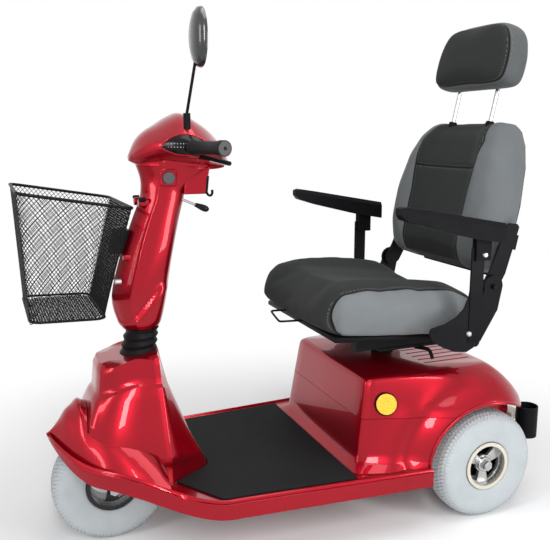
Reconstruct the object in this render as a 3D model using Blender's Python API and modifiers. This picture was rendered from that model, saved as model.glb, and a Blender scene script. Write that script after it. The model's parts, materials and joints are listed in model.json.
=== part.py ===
# Three-wheeled electric mobility scooter: swept-up floor moulding, raked tiller with a
# mesh basket and mirror, captain's seat with headrest, grey tyres and a rear crutch cup.
# Metres, +X forward, +Y the rider's left, +Z up. The model is drawn with the rear axle at
# X = 0 and the ground at Z = 0, and SHIFT_X then centres its box over the origin.

import math

import bmesh
import bpy
import numpy as np
from mathutils import Matrix, Vector

NAME = "mobility_scooter"

# Fits
SEAT_GAP = 0.0003
RUN_GAP = 0.0003
SLIDE_GAP = 0.0008

# Running gear
WHEELBASE = 0.838
TRACK = 0.462
TYRE_R = 0.130
TYRE_W = 0.080
RIM_R = 0.058
RIM_W = 0.072
RIM_WALL = 0.0105
WEB_T = 0.008
WEB_H = 0.010
HUB_R = 0.018
HUB_OUT = 0.028
HUB_IN = 0.030
REAR_SHAFT_R = 0.0085
FRONT_SHAFT_R = 0.006
WINDOWS = 3
WINDOW_DEG = 82
NUT_R = 0.012
NUT_L = 0.010
THREAD = 0.0015

# Steering
RAKE = 14.0
FORK_GAP = 0.0065
FORK_T = 0.006
FORK_W = 0.030
CROWN_CLEAR = 0.010
CROWN_T = 0.012
STEM_R = 0.014
HEAD_TUBE_R = 0.021
HEAD_TUBE_L = 0.110
HEAD_TUBE_START = 0.170
TILT_PIVOT_S = 0.325
TILT_PIN_R = 0.004
BOOT_R = 0.042
BOOT_RIBS = 3
BOOT_SIDES = 24
BOOT_WALL = 0.004
BOOT_LEAN = 0.010
BOOT_TOP = TYRE_R + 0.3495

# Floor moulding
SKIRT_BOTTOM = TYRE_R - 0.017
GROOVE_UP = 0.036
LIP_UP = 0.0065
SHEET = 0.0035
FLOOR_HALF_W = TRACK / 2.0 + 0.016
FLOOR_FLARE = 0.07
FLOOR_REAR = 0.075
NOSE_START = WHEELBASE - 0.238
NOSE_TIP = WHEELBASE + 0.130
MAT_T = 0.0035
MAT_REAR = 0.336
MAT_INSET = 0.020
DECK_EDGE = 0.004
MAT_CORNER_X = WHEELBASE - 0.198
MAT_CORNER_SLOPE = 1.57
MAT_TIP_Y = 0.030
DECK_Z = TYRE_R + 0.020

# Frame
RAIL_Y = TRACK / 2.0 - 0.111
RAIL_R = 0.0125
RAIL_FRONT = WHEELBASE - 0.238
RAIL_REAR = 0.050
CROSS_X = (RAIL_FRONT, 0.330, 0.140)
BACKBONE_R = 0.015
HANGER_T = 0.006

# Rear body
BODY_SHEET = 0.004
BODY_BOTTOM = DECK_Z + SEAT_GAP
SEAM_Z = TYRE_R + 0.134
SEAM_GAP = SEAT_GAP
BODY_TOP = TYRE_R + 0.227
ARCH_R = TYRE_R + 0.028
ARCH_IN = TRACK / 2.0 - TYRE_W / 2.0 - 0.023
REFLECTOR_R = 0.024
REFLECTOR_T = 0.006
REFLECTOR_AT = (0.245, TRACK / 2.0 - 0.0238, TYRE_R + 0.168)
REFLECTOR_NORMAL = (0.24, 0.94, 0.24)

# Seat
SWIVEL_X = 0.140
POST_R = 0.027
SPINDLE_R = 0.0222
POST_TOP = TYRE_R + 0.265
SEAT_TILT = 4.0
HINGE_X = -0.015
HINGE_Z = POST_TOP + 0.161
BACK_LEAN = 12.5
BACK_U = 0.392
HEAD_POST_Y = 0.076
HEAD_POST_R = 0.005
ARM_Y = 0.2705
ARM_BAR_X = 0.062
ARM_BAR_W = 0.033
ARM_BAR_T = 0.005
ARM_PIVOT_X = 0.050
ARM_PIVOT_Z = POST_TOP + 0.245
PAD_L = 0.268
PAD_W = 0.048
PAD_T = 0.045

# Tiller top, basket and cup
GRIP_R = 0.0155
GRIP_L = 0.120
GRIP_Y0 = 0.128
GRIP_SWEEP = 14.0
BAR_R = 0.011
LEVER_R = 0.0045
BASKET_FRONT = WHEELBASE + 0.169
BASKET_REAR = WHEELBASE - 0.046
BASKET_HALF_W = 0.150
BASKET_WALL = 0.003
BRACKET_Z = (TYRE_R + 0.520, TYRE_R + 0.570)
BRACKET_HALF_W = 0.022
CUP_X = -0.166
CUP_Y = TRACK / 2.0 - 0.031
CUP_R = 0.0265
CUP_BOTTOM = TYRE_R + 0.026
CUP_H = 0.078
STRAP_Z = (TYRE_R + 0.066, TYRE_R + 0.082)
STRAP_W = 0.046
STRAP_SEAT = 0.0010

BACK_REACH = -0.1972

# The tables of places were drawn for one wheelbase, wheel radius and track, and follow them
AHEAD = WHEELBASE - 0.838
RISE = TYRE_R - 0.130
TRACK_DRAWN = 0.462

SHIFT_X = -0.5 * (BASKET_FRONT + BACK_REACH)

parts = bpy.data.collections.new(NAME)
cutters = bpy.data.collections.new("cutters")
bodies = {}
body_at = {}


def clear_scene():
    """Remove what the file opened with, and link the two collections."""
    for obj in list(bpy.data.objects):
        bpy.data.objects.remove(obj, do_unlink=True)
    bpy.context.scene.collection.children.link(parts)
    bpy.context.scene.collection.children.link(cutters)


def material(name, colour, roughness, metallic=0.0):
    """A Principled finish."""
    mat = bpy.data.materials.new(name)
    mat.use_nodes = True
    shader = mat.node_tree.nodes["Principled BSDF"]
    shader.inputs["Base Color"].default_value = (*colour, 1.0)
    shader.inputs["Roughness"].default_value = roughness
    shader.inputs["Metallic"].default_value = metallic
    return mat


def body(name, parent, at):
    """An empty on a moving body's joint axis, which its pieces hang from."""
    empty = bpy.data.objects.new(name + "_body", None)
    parts.objects.link(empty)
    at = Vector(at)
    if parent is None:
        empty.location = at + Vector((SHIFT_X, 0.0, 0.0))
    else:
        empty.parent = bodies[parent]
        empty.location = at - body_at[parent]
    bodies[name] = empty
    body_at[name] = at


def add(name, mesh, mat, owner, at=(0.0, 0.0, 0.0), turn=(0.0, 0.0, 0.0)):
    """Put a mesh in the parts collection, or among the cutters where owner is None."""
    obj = bpy.data.objects.new(name, mesh)
    obj.rotation_euler = [math.radians(a) for a in turn]
    if owner is None:
        cutters.objects.link(obj)
        obj.parent = bodies["chassis"]
        obj.location = Vector(at)
        obj.hide_render = True
        obj.display_type = "WIRE"
        return obj
    parts.objects.link(obj)
    obj.parent = bodies[owner]
    obj.location = Vector(at) - body_at[owner]
    if mat is not None:
        mesh.materials.append(mat)
    return obj


def smooth(mesh, angle=35.0):
    """Shade round faces smooth and keep edges over the angle sharp."""
    mesh.shade_smooth()
    mesh.set_sharp_from_angle(angle=math.radians(angle))


def mesh_of(name, verts, faces):
    """A mesh whose faces are turned to point out."""
    mesh = bpy.data.meshes.new(name)
    mesh.from_pydata([tuple(v) for v in verts], [], [tuple(f) for f in faces])
    work = bmesh.new()
    work.from_mesh(mesh)
    bmesh.ops.remove_doubles(work, verts=work.verts, dist=1e-5)
    bmesh.ops.recalc_face_normals(work, faces=work.faces)
    work.to_mesh(mesh)
    work.free()
    return mesh


def block(name, size, at, mat, owner, round_r=0.0, turn=(0.0, 0.0, 0.0)):
    """A box of the given size about its centre, with rounded edges."""
    mesh = bpy.data.meshes.new(name)
    work = bmesh.new()
    bmesh.ops.create_cube(work, size=1.0)
    bmesh.ops.scale(work, vec=Vector(size), verts=work.verts)
    if round_r > 0.0:
        bmesh.ops.bevel(work, geom=work.edges[:], offset=round_r, segments=2, affect="EDGES",
                        profile=0.5)
    work.to_mesh(mesh)
    work.free()
    smooth(mesh)
    return add(name, mesh, mat, owner, at, turn)


def rod(name, r, length, at, mat, owner, turn=(0.0, 0.0, 0.0), sides=20):
    """A cylinder about its centre, along its own Z."""
    mesh = bpy.data.meshes.new(name)
    work = bmesh.new()
    bmesh.ops.create_cone(work, cap_ends=True, segments=sides, radius1=r, radius2=r,
                          depth=length)
    work.to_mesh(mesh)
    work.free()
    smooth(mesh)
    return add(name, mesh, mat, owner, at, turn)


def turned(name, profile, at, mat, owner, turn=(0.0, 0.0, 0.0), steps=28, closed=True):
    """A profile of (radius, height) points spun about the object's own Z."""
    mesh = bpy.data.meshes.new(name)
    count = len(profile)
    edges = [(i, i + 1) for i in range(count - 1)]
    if closed:
        edges.append((count - 1, 0))
    mesh.from_pydata([(r, 0.0, h) for r, h in profile], edges, [])
    obj = add(name, mesh, mat, owner, at, turn)
    spin = obj.modifiers.new("spin", "SCREW")
    spin.steps = steps
    spin.render_steps = steps
    spin.use_merge_vertices = True
    spin.merge_threshold = 1e-5
    spin.use_smooth_shade = True
    return obj


def curve_mesh(name, points, radius, sides=3):
    """A round bar along a polyline, as a closed mesh with welded caps."""
    curve = bpy.data.curves.new(name, "CURVE")
    curve.dimensions = "3D"
    curve.bevel_depth = radius
    curve.bevel_resolution = sides
    curve.use_fill_caps = True
    spline = curve.splines.new("POLY")
    spline.points.add(len(points) - 1)
    for spot, point in zip(spline.points, points):
        spot.co = (*point, 1.0)
    holder = bpy.data.objects.new(name + "_line", curve)
    bpy.context.scene.collection.objects.link(holder)
    bpy.context.view_layer.update()
    graph = bpy.context.evaluated_depsgraph_get()
    mesh = bpy.data.meshes.new_from_object(holder.evaluated_get(graph))
    bpy.data.objects.remove(holder, do_unlink=True)
    work = bmesh.new()
    work.from_mesh(mesh)
    bmesh.ops.remove_doubles(work, verts=work.verts, dist=1e-5)
    bmesh.ops.recalc_face_normals(work, faces=work.faces)
    work.to_mesh(mesh)
    work.free()
    mesh.materials.clear()
    smooth(mesh)
    return mesh


def bar(name, points, radius, mat, owner, sides=3):
    """A round bar along a polyline."""
    return add(name, curve_mesh(name, points, radius, sides), mat, owner)


def rounded(points, radius, steps=4):
    """A polyline with its inner corners turned into arcs of the radius."""
    points = [Vector(p) for p in points]
    out = [points[0]]
    for before, corner, after in zip(points, points[1:], points[2:]):
        a = (before - corner).normalized()
        b = (after - corner).normalized()
        half = a.angle(b) / 2.0
        reach = min(radius / math.tan(half), (before - corner).length * 0.49,
                    (after - corner).length * 0.49)
        start = corner + a * reach
        end = corner + b * reach
        for i in range(steps + 1):
            t = i / steps
            out.append(start.lerp(corner, t).lerp(corner.lerp(end, t), t))
    out.append(points[-1])
    return out


def plate(name, outline, thick, mat, owner, place):
    """A flat outline of (a, b) points made solid; place maps (a, b, t) to a point."""
    count = len(outline)
    verts = [place(a, b, 0.0) for a, b in outline] + [place(a, b, thick) for a, b in outline]
    faces = [tuple(range(count)), tuple(range(2 * count - 1, count - 1, -1))]
    faces += [(i, (i + 1) % count, count + (i + 1) % count, count + i) for i in range(count)]
    mesh = mesh_of(name, verts, faces)
    smooth(mesh)
    return add(name, mesh, mat, owner)


def ring_faces(rows, count, wrap=True):
    """Quads between rows of points."""
    faces = []
    last = count if wrap else count - 1
    for r in range(rows - 1):
        for i in range(last):
            j = (i + 1) % count
            faces.append((r * count + i, r * count + j, (r + 1) * count + j, (r + 1) * count + i))
    return faces


def loft(name, rings, mat, owner, caps=(True, True), at=(0.0, 0.0, 0.0), angle=35.0):
    """A solid through closed rings of equal counts, capped at both ends."""
    count = len(rings[0])
    verts = [p for ring in rings for p in ring]
    faces = ring_faces(len(rings), count)
    if caps[0]:
        faces.append(tuple(range(count)))
    if caps[1]:
        base = (len(rings) - 1) * count
        faces.append(tuple(base + i for i in range(count)))
    mesh = mesh_of(name, verts, faces)
    smooth(mesh, angle)
    return add(name, mesh, mat, owner, at)


def combine(obj, other, how):
    """A Boolean with an operand from the cutters collection."""
    step = obj.modifiers.new(how.lower(), "BOOLEAN")
    step.operation = how
    step.solver = "EXACT"
    step.object = other
    return obj


def cut(obj, *tools):
    """Take the tools away from a piece."""
    for tool in tools:
        combine(obj, tool, "DIFFERENCE")
    return obj


def unite(obj, *tools):
    """Fuse the tools with a piece."""
    for tool in tools:
        combine(obj, tool, "UNION")
    return obj


def mirror_ring(half):
    """A closed ring from a half outline that runs from the centre line back to it."""
    back = [(x, -y, z) for x, y, z in reversed(half) if abs(y) > 1e-9]
    return list(half) + back


def fair(rows, times):
    """Rows of numbers with more rows between them, on one smooth curve through them all."""
    rows = np.array(rows, float)
    last = len(rows) - 1
    out = []
    for i in range(last):
        a, b, c, d = rows[max(i - 1, 0)], rows[i], rows[i + 1], rows[min(i + 2, last)]
        for k in range(times):
            t = k / times
            square = 2.0 * a - 5.0 * b + 4.0 * c - d
            cube = 3.0 * b - a - 3.0 * c + d
            out.append(0.5 * (2.0 * b + (c - a) * t + square * t ** 2 + cube * t ** 3))
    out.append(rows[-1])
    return out


clear_scene()

RED = material("red_gloss", (0.36, 0.004, 0.012), 0.16, 0.35)
BLACK = material("black_plastic", (0.012, 0.012, 0.013), 0.45)
BLACK_STEEL = material("black_steel", (0.010, 0.010, 0.011), 0.38, 0.4)
RUBBER = material("mat_rubber", (0.014, 0.015, 0.016), 0.85)
TYRE = material("grey_tyre", (0.42, 0.47, 0.50), 0.75)
SILVER = material("silver_rim", (0.62, 0.60, 0.55), 0.32, 0.8)
STEEL = material("bare_steel", (0.50, 0.50, 0.50), 0.35, 1.0)
CHROME = material("chrome", (0.80, 0.80, 0.82), 0.08, 1.0)
AMBER = material("amber_lens", (0.90, 0.42, 0.01), 0.25)
CHARCOAL = material("charcoal_cloth", (0.045, 0.047, 0.048), 0.85)
PALE = material("pale_bracket", (0.70, 0.68, 0.60), 0.5)
ALLOY = material("cast_alloy", (0.32, 0.32, 0.33), 0.55, 0.8)
CASE = material("battery_case", (0.03, 0.03, 0.03), 0.5)

# Joint places
TAN_RAKE = math.tan(math.radians(RAKE))
SIN_RAKE = math.sin(math.radians(RAKE))
COS_RAKE = math.cos(math.radians(RAKE))


def on_axis(s, side=0.0, across=0.0):
    """A point at distance s up the raked steering axis from the front wheel's centre."""
    return (WHEELBASE - s * SIN_RAKE + side * COS_RAKE, across,
            TYRE_R + s * COS_RAKE + side * SIN_RAKE)


PIVOT = on_axis(TILT_PIVOT_S)
body("chassis", None, (0.0, 0.0, 0.0))
body("steering", "chassis", on_axis(0.0))
body("front_wheel", "steering", on_axis(0.0))
body("rear_wheel_left", "chassis", (0.0, TRACK / 2, TYRE_R))
body("rear_wheel_right", "chassis", (0.0, -TRACK / 2, TYRE_R))
body("tiller", "steering", PIVOT)
body("seat_swivel", "chassis", (SWIVEL_X, 0.0, POST_TOP))
body("seat", "seat_swivel", (SWIVEL_X, 0.0, POST_TOP))
body("backrest", "seat", (HINGE_X, 0.0, HINGE_Z))
body("headrest", "backrest", (HINGE_X, 0.0, HINGE_Z))
body("armrest_left", "seat", (ARM_PIVOT_X, ARM_Y, ARM_PIVOT_Z))
body("armrest_right", "seat", (ARM_PIVOT_X, -ARM_Y, ARM_PIVOT_Z))


# Floor moulding: plan and heights as functions of x
def floor_half(x):
    """Half width of the floor: straight flanks, then a blunt rounded nose."""
    x = np.asarray(x, float)
    t = np.clip((x - NOSE_START) / (NOSE_TIP - NOSE_START), 0.0, 1.0)
    nose = FLOOR_HALF_W * (1.0 - t ** 2.2) ** 0.75
    return nose + np.clip(NOSE_START - x, 0.0, None) * FLOOR_FLARE


def skirt_z(x):
    """Height of the skirt's lower edge: level, then rising over the front wheel."""
    t = np.clip((np.asarray(x, float) - NOSE_START - 0.02) / 0.25, 0.0, 1.0)
    tip = np.clip((np.asarray(x, float) - NOSE_TIP + 0.088) / 0.088, 0.0, 1.0)
    return SKIRT_BOTTOM + 0.066 * t * t * (3.0 - 2.0 * t) + 0.072 * tip ** 2


def groove_z(x):
    """Height of the groove that parts the lip from the lower band."""
    tip = np.clip((np.asarray(x, float) - NOSE_TIP + 0.088) / 0.088, 0.0, 1.0)
    return skirt_z(x) + GROOVE_UP * (1.0 - 0.8 * tip ** 2)


# Bonnet over the front wheel: columns distance past the front axle, height of its centre line
# above that axle
RIDGE = ((-0.238, 0.020), (-0.118, 0.020), (-0.100, 0.085), (-0.080, 0.118), (-0.030, 0.156),
         (0.020, 0.182), (0.050, 0.194), (0.064, 0.202), (0.078, 0.190), (0.092, 0.179),
         (0.104, 0.161), (0.116, 0.146), (0.124, 0.138), (0.130, 0.1335))


def mat_half(x):
    """Half width of the flat part of the deck, cut back in front of the rider's feet."""
    full = float(floor_half(min(x, MAT_CORNER_X))) - MAT_INSET
    return full - max(0.0, x - MAT_CORNER_X) * MAT_CORNER_SLOPE


def floor_section(x):
    """Half section: bonnet or flat deck from the centre line out, valley, lip and skirt."""
    half = float(floor_half(x))
    groove = float(groove_z(x))
    lip = min(0.006, 0.3 * half)
    table = np.array(RIDGE)
    ridge = TYRE_R + float(np.interp(x - WHEELBASE, table[:, 0], table[:, 1]))
    bonnet = float(np.clip((ridge - DECK_Z - 0.002) / 0.06, 0.0, 1.0))
    flat = max(mat_half(x) + DECK_EDGE, 0.30 * half)
    reach = (1.0 - bonnet) * flat + bonnet * (half - 2.6 * lip - 0.012 * half / FLOOR_HALF_W)
    valley = 0.35 * DECK_Z + 0.65 * groove
    nose = float(np.clip((x - WHEELBASE + 0.038) / 0.06, 0.0, 1.0))
    rim = valley + (0.35 + 0.65 * nose) * (groove + 0.001 - valley)
    edge = (1.0 - bonnet) * DECK_Z + bonnet * rim
    shape = ((0.0, 0.0), (0.25, 0.045), (0.45, 0.15), (0.62, 0.30), (0.76, 0.49), (0.88, 0.72),
             (1.0, 1.0))
    pts = [(x, reach * f, ridge + (edge - ridge) * g) for f, g in shape]
    pts.append((x, half - 2.0 * lip, (1.0 - bonnet) * valley + bonnet * (rim - 0.0005)))
    pts.append((x, half - lip, groove + LIP_UP * (0.4 + 0.6 * lip / 0.006)))
    pts.append((x, half - lip / 3.0, groove + 0.0045))
    pts.append((x, half, groove + 0.0015))
    pts.append((x, max(half - 0.002, 0.0), groove))
    pts.append((x, half, groove - 0.0015))
    pts.append((x, half, float(skirt_z(x))))
    return pts


def make_floor():
    """Red floor moulding as one thin shell, open below and round the cowl."""
    flat = [FLOOR_REAR, 0.24, 0.42]
    turn = [NOSE_START + (NOSE_TIP - 0.0006 - NOSE_START) * math.sin(a * math.pi / 2.0)
            for a in np.linspace(0.0, 1.0, 15)]
    turn = [x for x in turn if abs(x - WHEELBASE + 0.109) > 0.018]
    turn = sorted(turn + [WHEELBASE + RIDGE[1][0], WHEELBASE + RIDGE[2][0]])
    rows = [floor_section(x) for x in flat + turn]
    count = len(rows[0])
    verts = [p for row in rows for p in row]
    mesh = bpy.data.meshes.new("floor_shell")
    faces = [face[::-1] for face in ring_faces(len(rows), count, wrap=False)]
    mesh.from_pydata(verts, [], faces)
    smooth(mesh, 25.0)
    obj = add("floor_shell", mesh, RED, "chassis")
    flip = obj.modifiers.new("halves", "MIRROR")
    flip.use_axis = (False, True, False)
    flip.merge_threshold = 1e-4
    flip.use_clip = True
    wall = obj.modifiers.new("wall", "SOLIDIFY")
    wall.thickness = SHEET
    wall.offset = -1.0
    wall.use_even_offset = False
    return obj


# Cowl: each row is one level with the plan points of its half outline, and a height for each
# of its rear, flank, middle and front
COWL_LEVELS = (
    # rear x, corner y, flank x, flank y, mid x, mid y, front x, front y, four heights
    (0.6180, 0.054, 0.724, 0.1170, 0.800, 0.1190, 0.884, 0.082, 0.1478, 0.150, 0.168, 0.258),
    (0.6250, 0.055, 0.724, 0.1170, 0.796, 0.1185, 0.886, 0.082, 0.168, 0.190, 0.206, 0.272),
    (0.6280, 0.056, 0.724, 0.1220, 0.795, 0.1235, 0.892, 0.086, 0.176, 0.201, 0.218, 0.279),
    (0.6600, 0.054, 0.729, 0.1110, 0.795, 0.1120, 0.886, 0.076, 0.240, 0.262, 0.276, 0.306),
    (0.7020, 0.052, 0.735, 0.0890, 0.785, 0.0880, 0.873, 0.060, 0.345, 0.362, 0.369, 0.340),
    (0.7060, 0.049, 0.737, 0.0820, 0.785, 0.0800, 0.864, 0.054, 0.356, 0.372, 0.378, 0.352),
    (0.7200, 0.048, 0.740, 0.0780, 0.785, 0.0760, 0.859, 0.052, 0.412, 0.424, 0.430, 0.404),
    (0.7235, 0.044, 0.742, 0.0680, 0.785, 0.0660, 0.853, 0.044, 0.425, 0.429, 0.430, 0.412),
)
HULL_GAP = 0.0019
HULL_FOOT = TYRE_R - 0.050
COWL_TOP_FRONT = (WHEELBASE + 0.015, TYRE_R + 0.288)
COWL_TOP_SLOPE = 0.12


def cowl_top_z(x):
    """Height of the cowl's flat top, which falls towards the front."""
    return COWL_TOP_FRONT[1] + (COWL_TOP_FRONT[0] - x) * COWL_TOP_SLOPE


def cowl_ring(row, grow=0.0):
    """Full closed outline of one cowl level, grown outwards by a clearance."""
    rx, ry, fx, fy, mx, my, nx, ny, rz, fz, mz, nz = row
    half = [(rx - grow, 0.0, rz), (rx + 0.002 - grow, 0.7 * ry, rz),
            (rx + 0.007 - grow, ry + grow * 0.6, rz + 0.1 * (fz - rz)),
            (fx - 0.006, fy - 0.003 + grow, fz), (fx + 0.008, fy + grow, fz),
            (mx, my + grow, mz), (0.45 * mx + 0.55 * nx, 0.42 * my + 0.58 * ny + 0.010 + grow,
                                  0.5 * (mz + nz)),
            (nx - 0.003 + grow * 0.6, ny + grow, nz), (nx + 0.002 + grow, 0.6 * ny, nz + 0.001),
            (nx + 0.003 + grow, 0.0, nz + 0.001)]
    return mirror_ring([(x + AHEAD, y, z + RISE) for x, y, z in half])


def cowl_rings(grow=0.0):
    """All the cowl's outlines, the last one laid on its flat top."""
    rings = [cowl_ring(row, grow) for row in COWL_LEVELS]
    rings[-1] = [(x, y, cowl_top_z(x)) for x, y, _ in rings[-1]]
    return rings


def make_cowl():
    """Front cowl: faceted shell with an overhanging flank panel and a bored top."""
    rings = cowl_rings()
    count = len(rings[0])
    verts = [p for ring in rings for p in ring]
    faces = ring_faces(len(rings), count)
    faces.append(tuple((len(rings) - 1) * count + i for i in range(count)))
    mesh = mesh_of("front_cowl", verts, faces)
    smooth(mesh, 20.0)
    obj = add("front_cowl", mesh, RED, "chassis")
    wall = obj.modifiers.new("wall", "SOLIDIFY")
    wall.thickness = SHEET
    wall.offset = -1.0
    bore = rod("cowl_bore", BOOT_R - 0.008, 0.080, on_axis(TILT_PIVOT_S - 0.030), None, None,
               (0.0, -RAKE, 0.0), 32)
    cut(obj, bore)
    grown = cowl_rings(HULL_GAP)
    foot = [(x, y, HULL_FOOT) for x, y, _ in grown[0]]
    tool = loft("cowl_hull", [foot] + grown, None, None)
    return obj, tool


floor = make_floor()
cowl, cowl_hull = make_cowl()
cut(floor, cowl_hull)


def make_mat():
    """Black rubber mat with its front corners cut back beside the cowl."""
    corner_y = mat_half(MAT_CORNER_X)
    tip_x = MAT_CORNER_X + (corner_y - MAT_TIP_Y) / MAT_CORNER_SLOPE
    outline = [(x, mat_half(x)) for x in (MAT_REAR, 0.45, 0.55, MAT_CORNER_X, tip_x)]
    outline += [(x, -y) for x, y in reversed(outline)]
    z = DECK_Z + SEAT_GAP
    return plate("floor_mat", outline, MAT_T, RUBBER, "chassis", lambda a, b, t: (a, b, z + t))


mat_piece = make_mat()
cut(mat_piece, cowl_hull)


# Wheels
def make_tyre(name, owner, at):
    """Solid grey tyre: flat tread, rounded shoulders and bulged walls."""
    wall = TYRE_R - RIM_R
    half = TYRE_W / 2.0
    side = [(TYRE_R, 0.50), (TYRE_R - 0.0045, 0.78), (TYRE_R - 0.22 * wall, 0.95),
            (TYRE_R - 0.42 * wall, 1.0), (TYRE_R - 0.70 * wall, 0.96), (RIM_R + 0.0035, 0.88),
            (RIM_R + SEAT_GAP, 0.80)]
    upper = [(r, half * f) for r, f in reversed(side)]
    lower = [(r, -half * f) for r, f in side]
    return turned(name, upper + lower, at, TYRE, owner, (90.0, 0.0, 0.0), 36)


def make_rim(name, owner, at, mat, shaft_r, outside):
    """Rim with a windowed web and a bored hub; outside is +1 or -1 along Y."""
    half = RIM_W / 2.0
    inner = RIM_R - RIM_WALL
    bore = shaft_r + RUN_GAP
    profile = [(RIM_R, half), (RIM_R, -half), (inner + 0.003, -half), (inner, -half + 0.006),
               (inner, WEB_H), (HUB_R, WEB_H), (HUB_R, -HUB_IN), (bore, -HUB_IN),
               (bore, HUB_OUT), (HUB_R - 0.002, HUB_OUT), (HUB_R, HUB_OUT - 0.002),
               (HUB_R, WEB_H + WEB_T), (inner, WEB_H + WEB_T), (inner + 0.002, half)]
    turn = (-90.0, 0.0, 0.0) if outside > 0 else (90.0, 0.0, 0.0)
    obj = turned(name, profile, at, mat, owner, turn, 26)
    for i in range(WINDOWS):
        mid = math.radians(90.0 + i * 360.0 / WINDOWS)
        spread = math.radians(WINDOW_DEG) / 2.0
        arc = [mid - spread + k * spread / 3.0 for k in range(7)]
        far = [((inner - 0.002) * math.cos(a), (inner - 0.002) * math.sin(a)) for a in arc]
        near = [((HUB_R + 0.003) * math.cos(a), (HUB_R + 0.003) * math.sin(a))
                for a in (mid + spread * 0.8, mid, mid - spread * 0.8)]
        x0, y0, z0 = at
        tool = plate(name + "_window_%d" % i, far + near, 3.0 * WEB_T, None, None,
                     lambda a, b, t: (x0 + a, y0 + outside * (WEB_H - WEB_T + t), z0 + b))
        cut(obj, tool)
    return obj


for side, sign in (("left", 1.0), ("right", -1.0)):
    spot = (0.0, sign * TRACK / 2.0, TYRE_R)
    make_tyre("rear_tyre_" + side, "rear_wheel_" + side, spot)
    make_rim("rear_rim_" + side, "rear_wheel_" + side, spot, SILVER, REAR_SHAFT_R, sign)
make_tyre("front_tyre", "front_wheel", on_axis(0.0))
make_rim("front_rim", "front_wheel", on_axis(0.0), BLACK_STEEL, FRONT_SHAFT_R, 1.0)


# Rear axle, transaxle and frame
def make_driveline():
    """Drive shaft with end nuts, and the gear housing with its motor."""
    reach = TRACK / 2.0 + HUB_OUT + SEAT_GAP
    shaft = rod("rear_axle", REAR_SHAFT_R, 2.0 * (reach + NUT_L + THREAD), (0.0, 0.0, TYRE_R), STEEL,
                "chassis", (90.0, 0.0, 0.0), 24)
    for sign in (1.0, -1.0):
        nut = rod("nut_%d" % sign, NUT_R, NUT_L, (0.0, sign * (reach + NUT_L / 2.0), TYRE_R),
                  None, None, (90.0, 0.0, 0.0), 6)
        unite(shaft, nut)
    tube_end = TRACK / 2.0 - HUB_IN - 0.012
    profile = [(0.016, tube_end), (0.016, 0.050), (0.040, 0.044), (0.052, 0.030),
               (0.052, -0.030), (0.040, -0.044), (0.016, -0.050), (0.016, -tube_end),
               (REAR_SHAFT_R + RUN_GAP, -tube_end), (REAR_SHAFT_R + RUN_GAP, tube_end)]
    housing = turned("transaxle", profile, (0.0, 0.0, TYRE_R), ALLOY, "chassis",
                     (90.0, 0.0, 0.0), 32)
    motor = rod("motor_can", 0.038, 0.070, (-0.080, 0.0, TYRE_R + 0.012), None, None,
                (0.0, 90.0, 0.0), 32)
    unite(housing, motor)


make_driveline()


def make_frame():
    """Welded tube frame: two rails, cross tubes, axle hangers, backbone and head tube."""
    deck_under = DECK_Z - SHEET
    rail_z = deck_under - SEAT_GAP - RAIL_R
    obj = bar("frame", [(RAIL_REAR, RAIL_Y, rail_z), (RAIL_FRONT, RAIL_Y, rail_z)], RAIL_R,
              BLACK_STEEL, "chassis")
    other = bar("rail_right", [(RAIL_REAR, -RAIL_Y, rail_z), (RAIL_FRONT, -RAIL_Y, rail_z)],
                RAIL_R, None, None)
    tools = [other]
    for x in CROSS_X:
        tools.append(bar("cross_%d" % round(1000 * x), [(x, -RAIL_Y, rail_z), (x, RAIL_Y, rail_z)],
                         RAIL_R * 0.9, None, None))
    head_mid = HEAD_TUBE_START + HEAD_TUBE_L / 2.0
    hx, _, hz = on_axis(head_mid)
    low_z = rail_z + RAIL_R - BACKBONE_R
    route = rounded([(RAIL_FRONT, 0.0, low_z), (RAIL_FRONT + 0.055, 0.0, low_z),
                     (RAIL_FRONT + 0.072, 0.0, DECK_Z + 0.065),
                     (RAIL_FRONT + 0.115, 0.0, hz - 0.020), (hx, 0.0, hz)], 0.05)
    tools.append(bar("backbone", route, BACKBONE_R, None, None))
    tools.append(rod("head_tube", HEAD_TUBE_R, HEAD_TUBE_L, on_axis(head_mid), None, None,
                     (0.0, -RAKE, 0.0), 32))
    for sign in (1.0, -1.0):
        tools.append(block("hanger_%d" % sign, (0.100, HANGER_T, 0.062),
                           (0.022, sign * RAIL_Y, TYRE_R), None, None))
    unite(obj, *tools)
    cut(obj, rod("head_bore", STEM_R + RUN_GAP, 2.0 * HEAD_TUBE_L, on_axis(head_mid), None,
                 None, (0.0, -RAKE, 0.0), 32))
    cut(obj, rod("hanger_bore", 0.016 + SEAT_GAP, 0.300, (0.0, 0.0, TYRE_R), None, None,
                 (90.0, 0.0, 0.0), 32))


make_frame()


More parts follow.
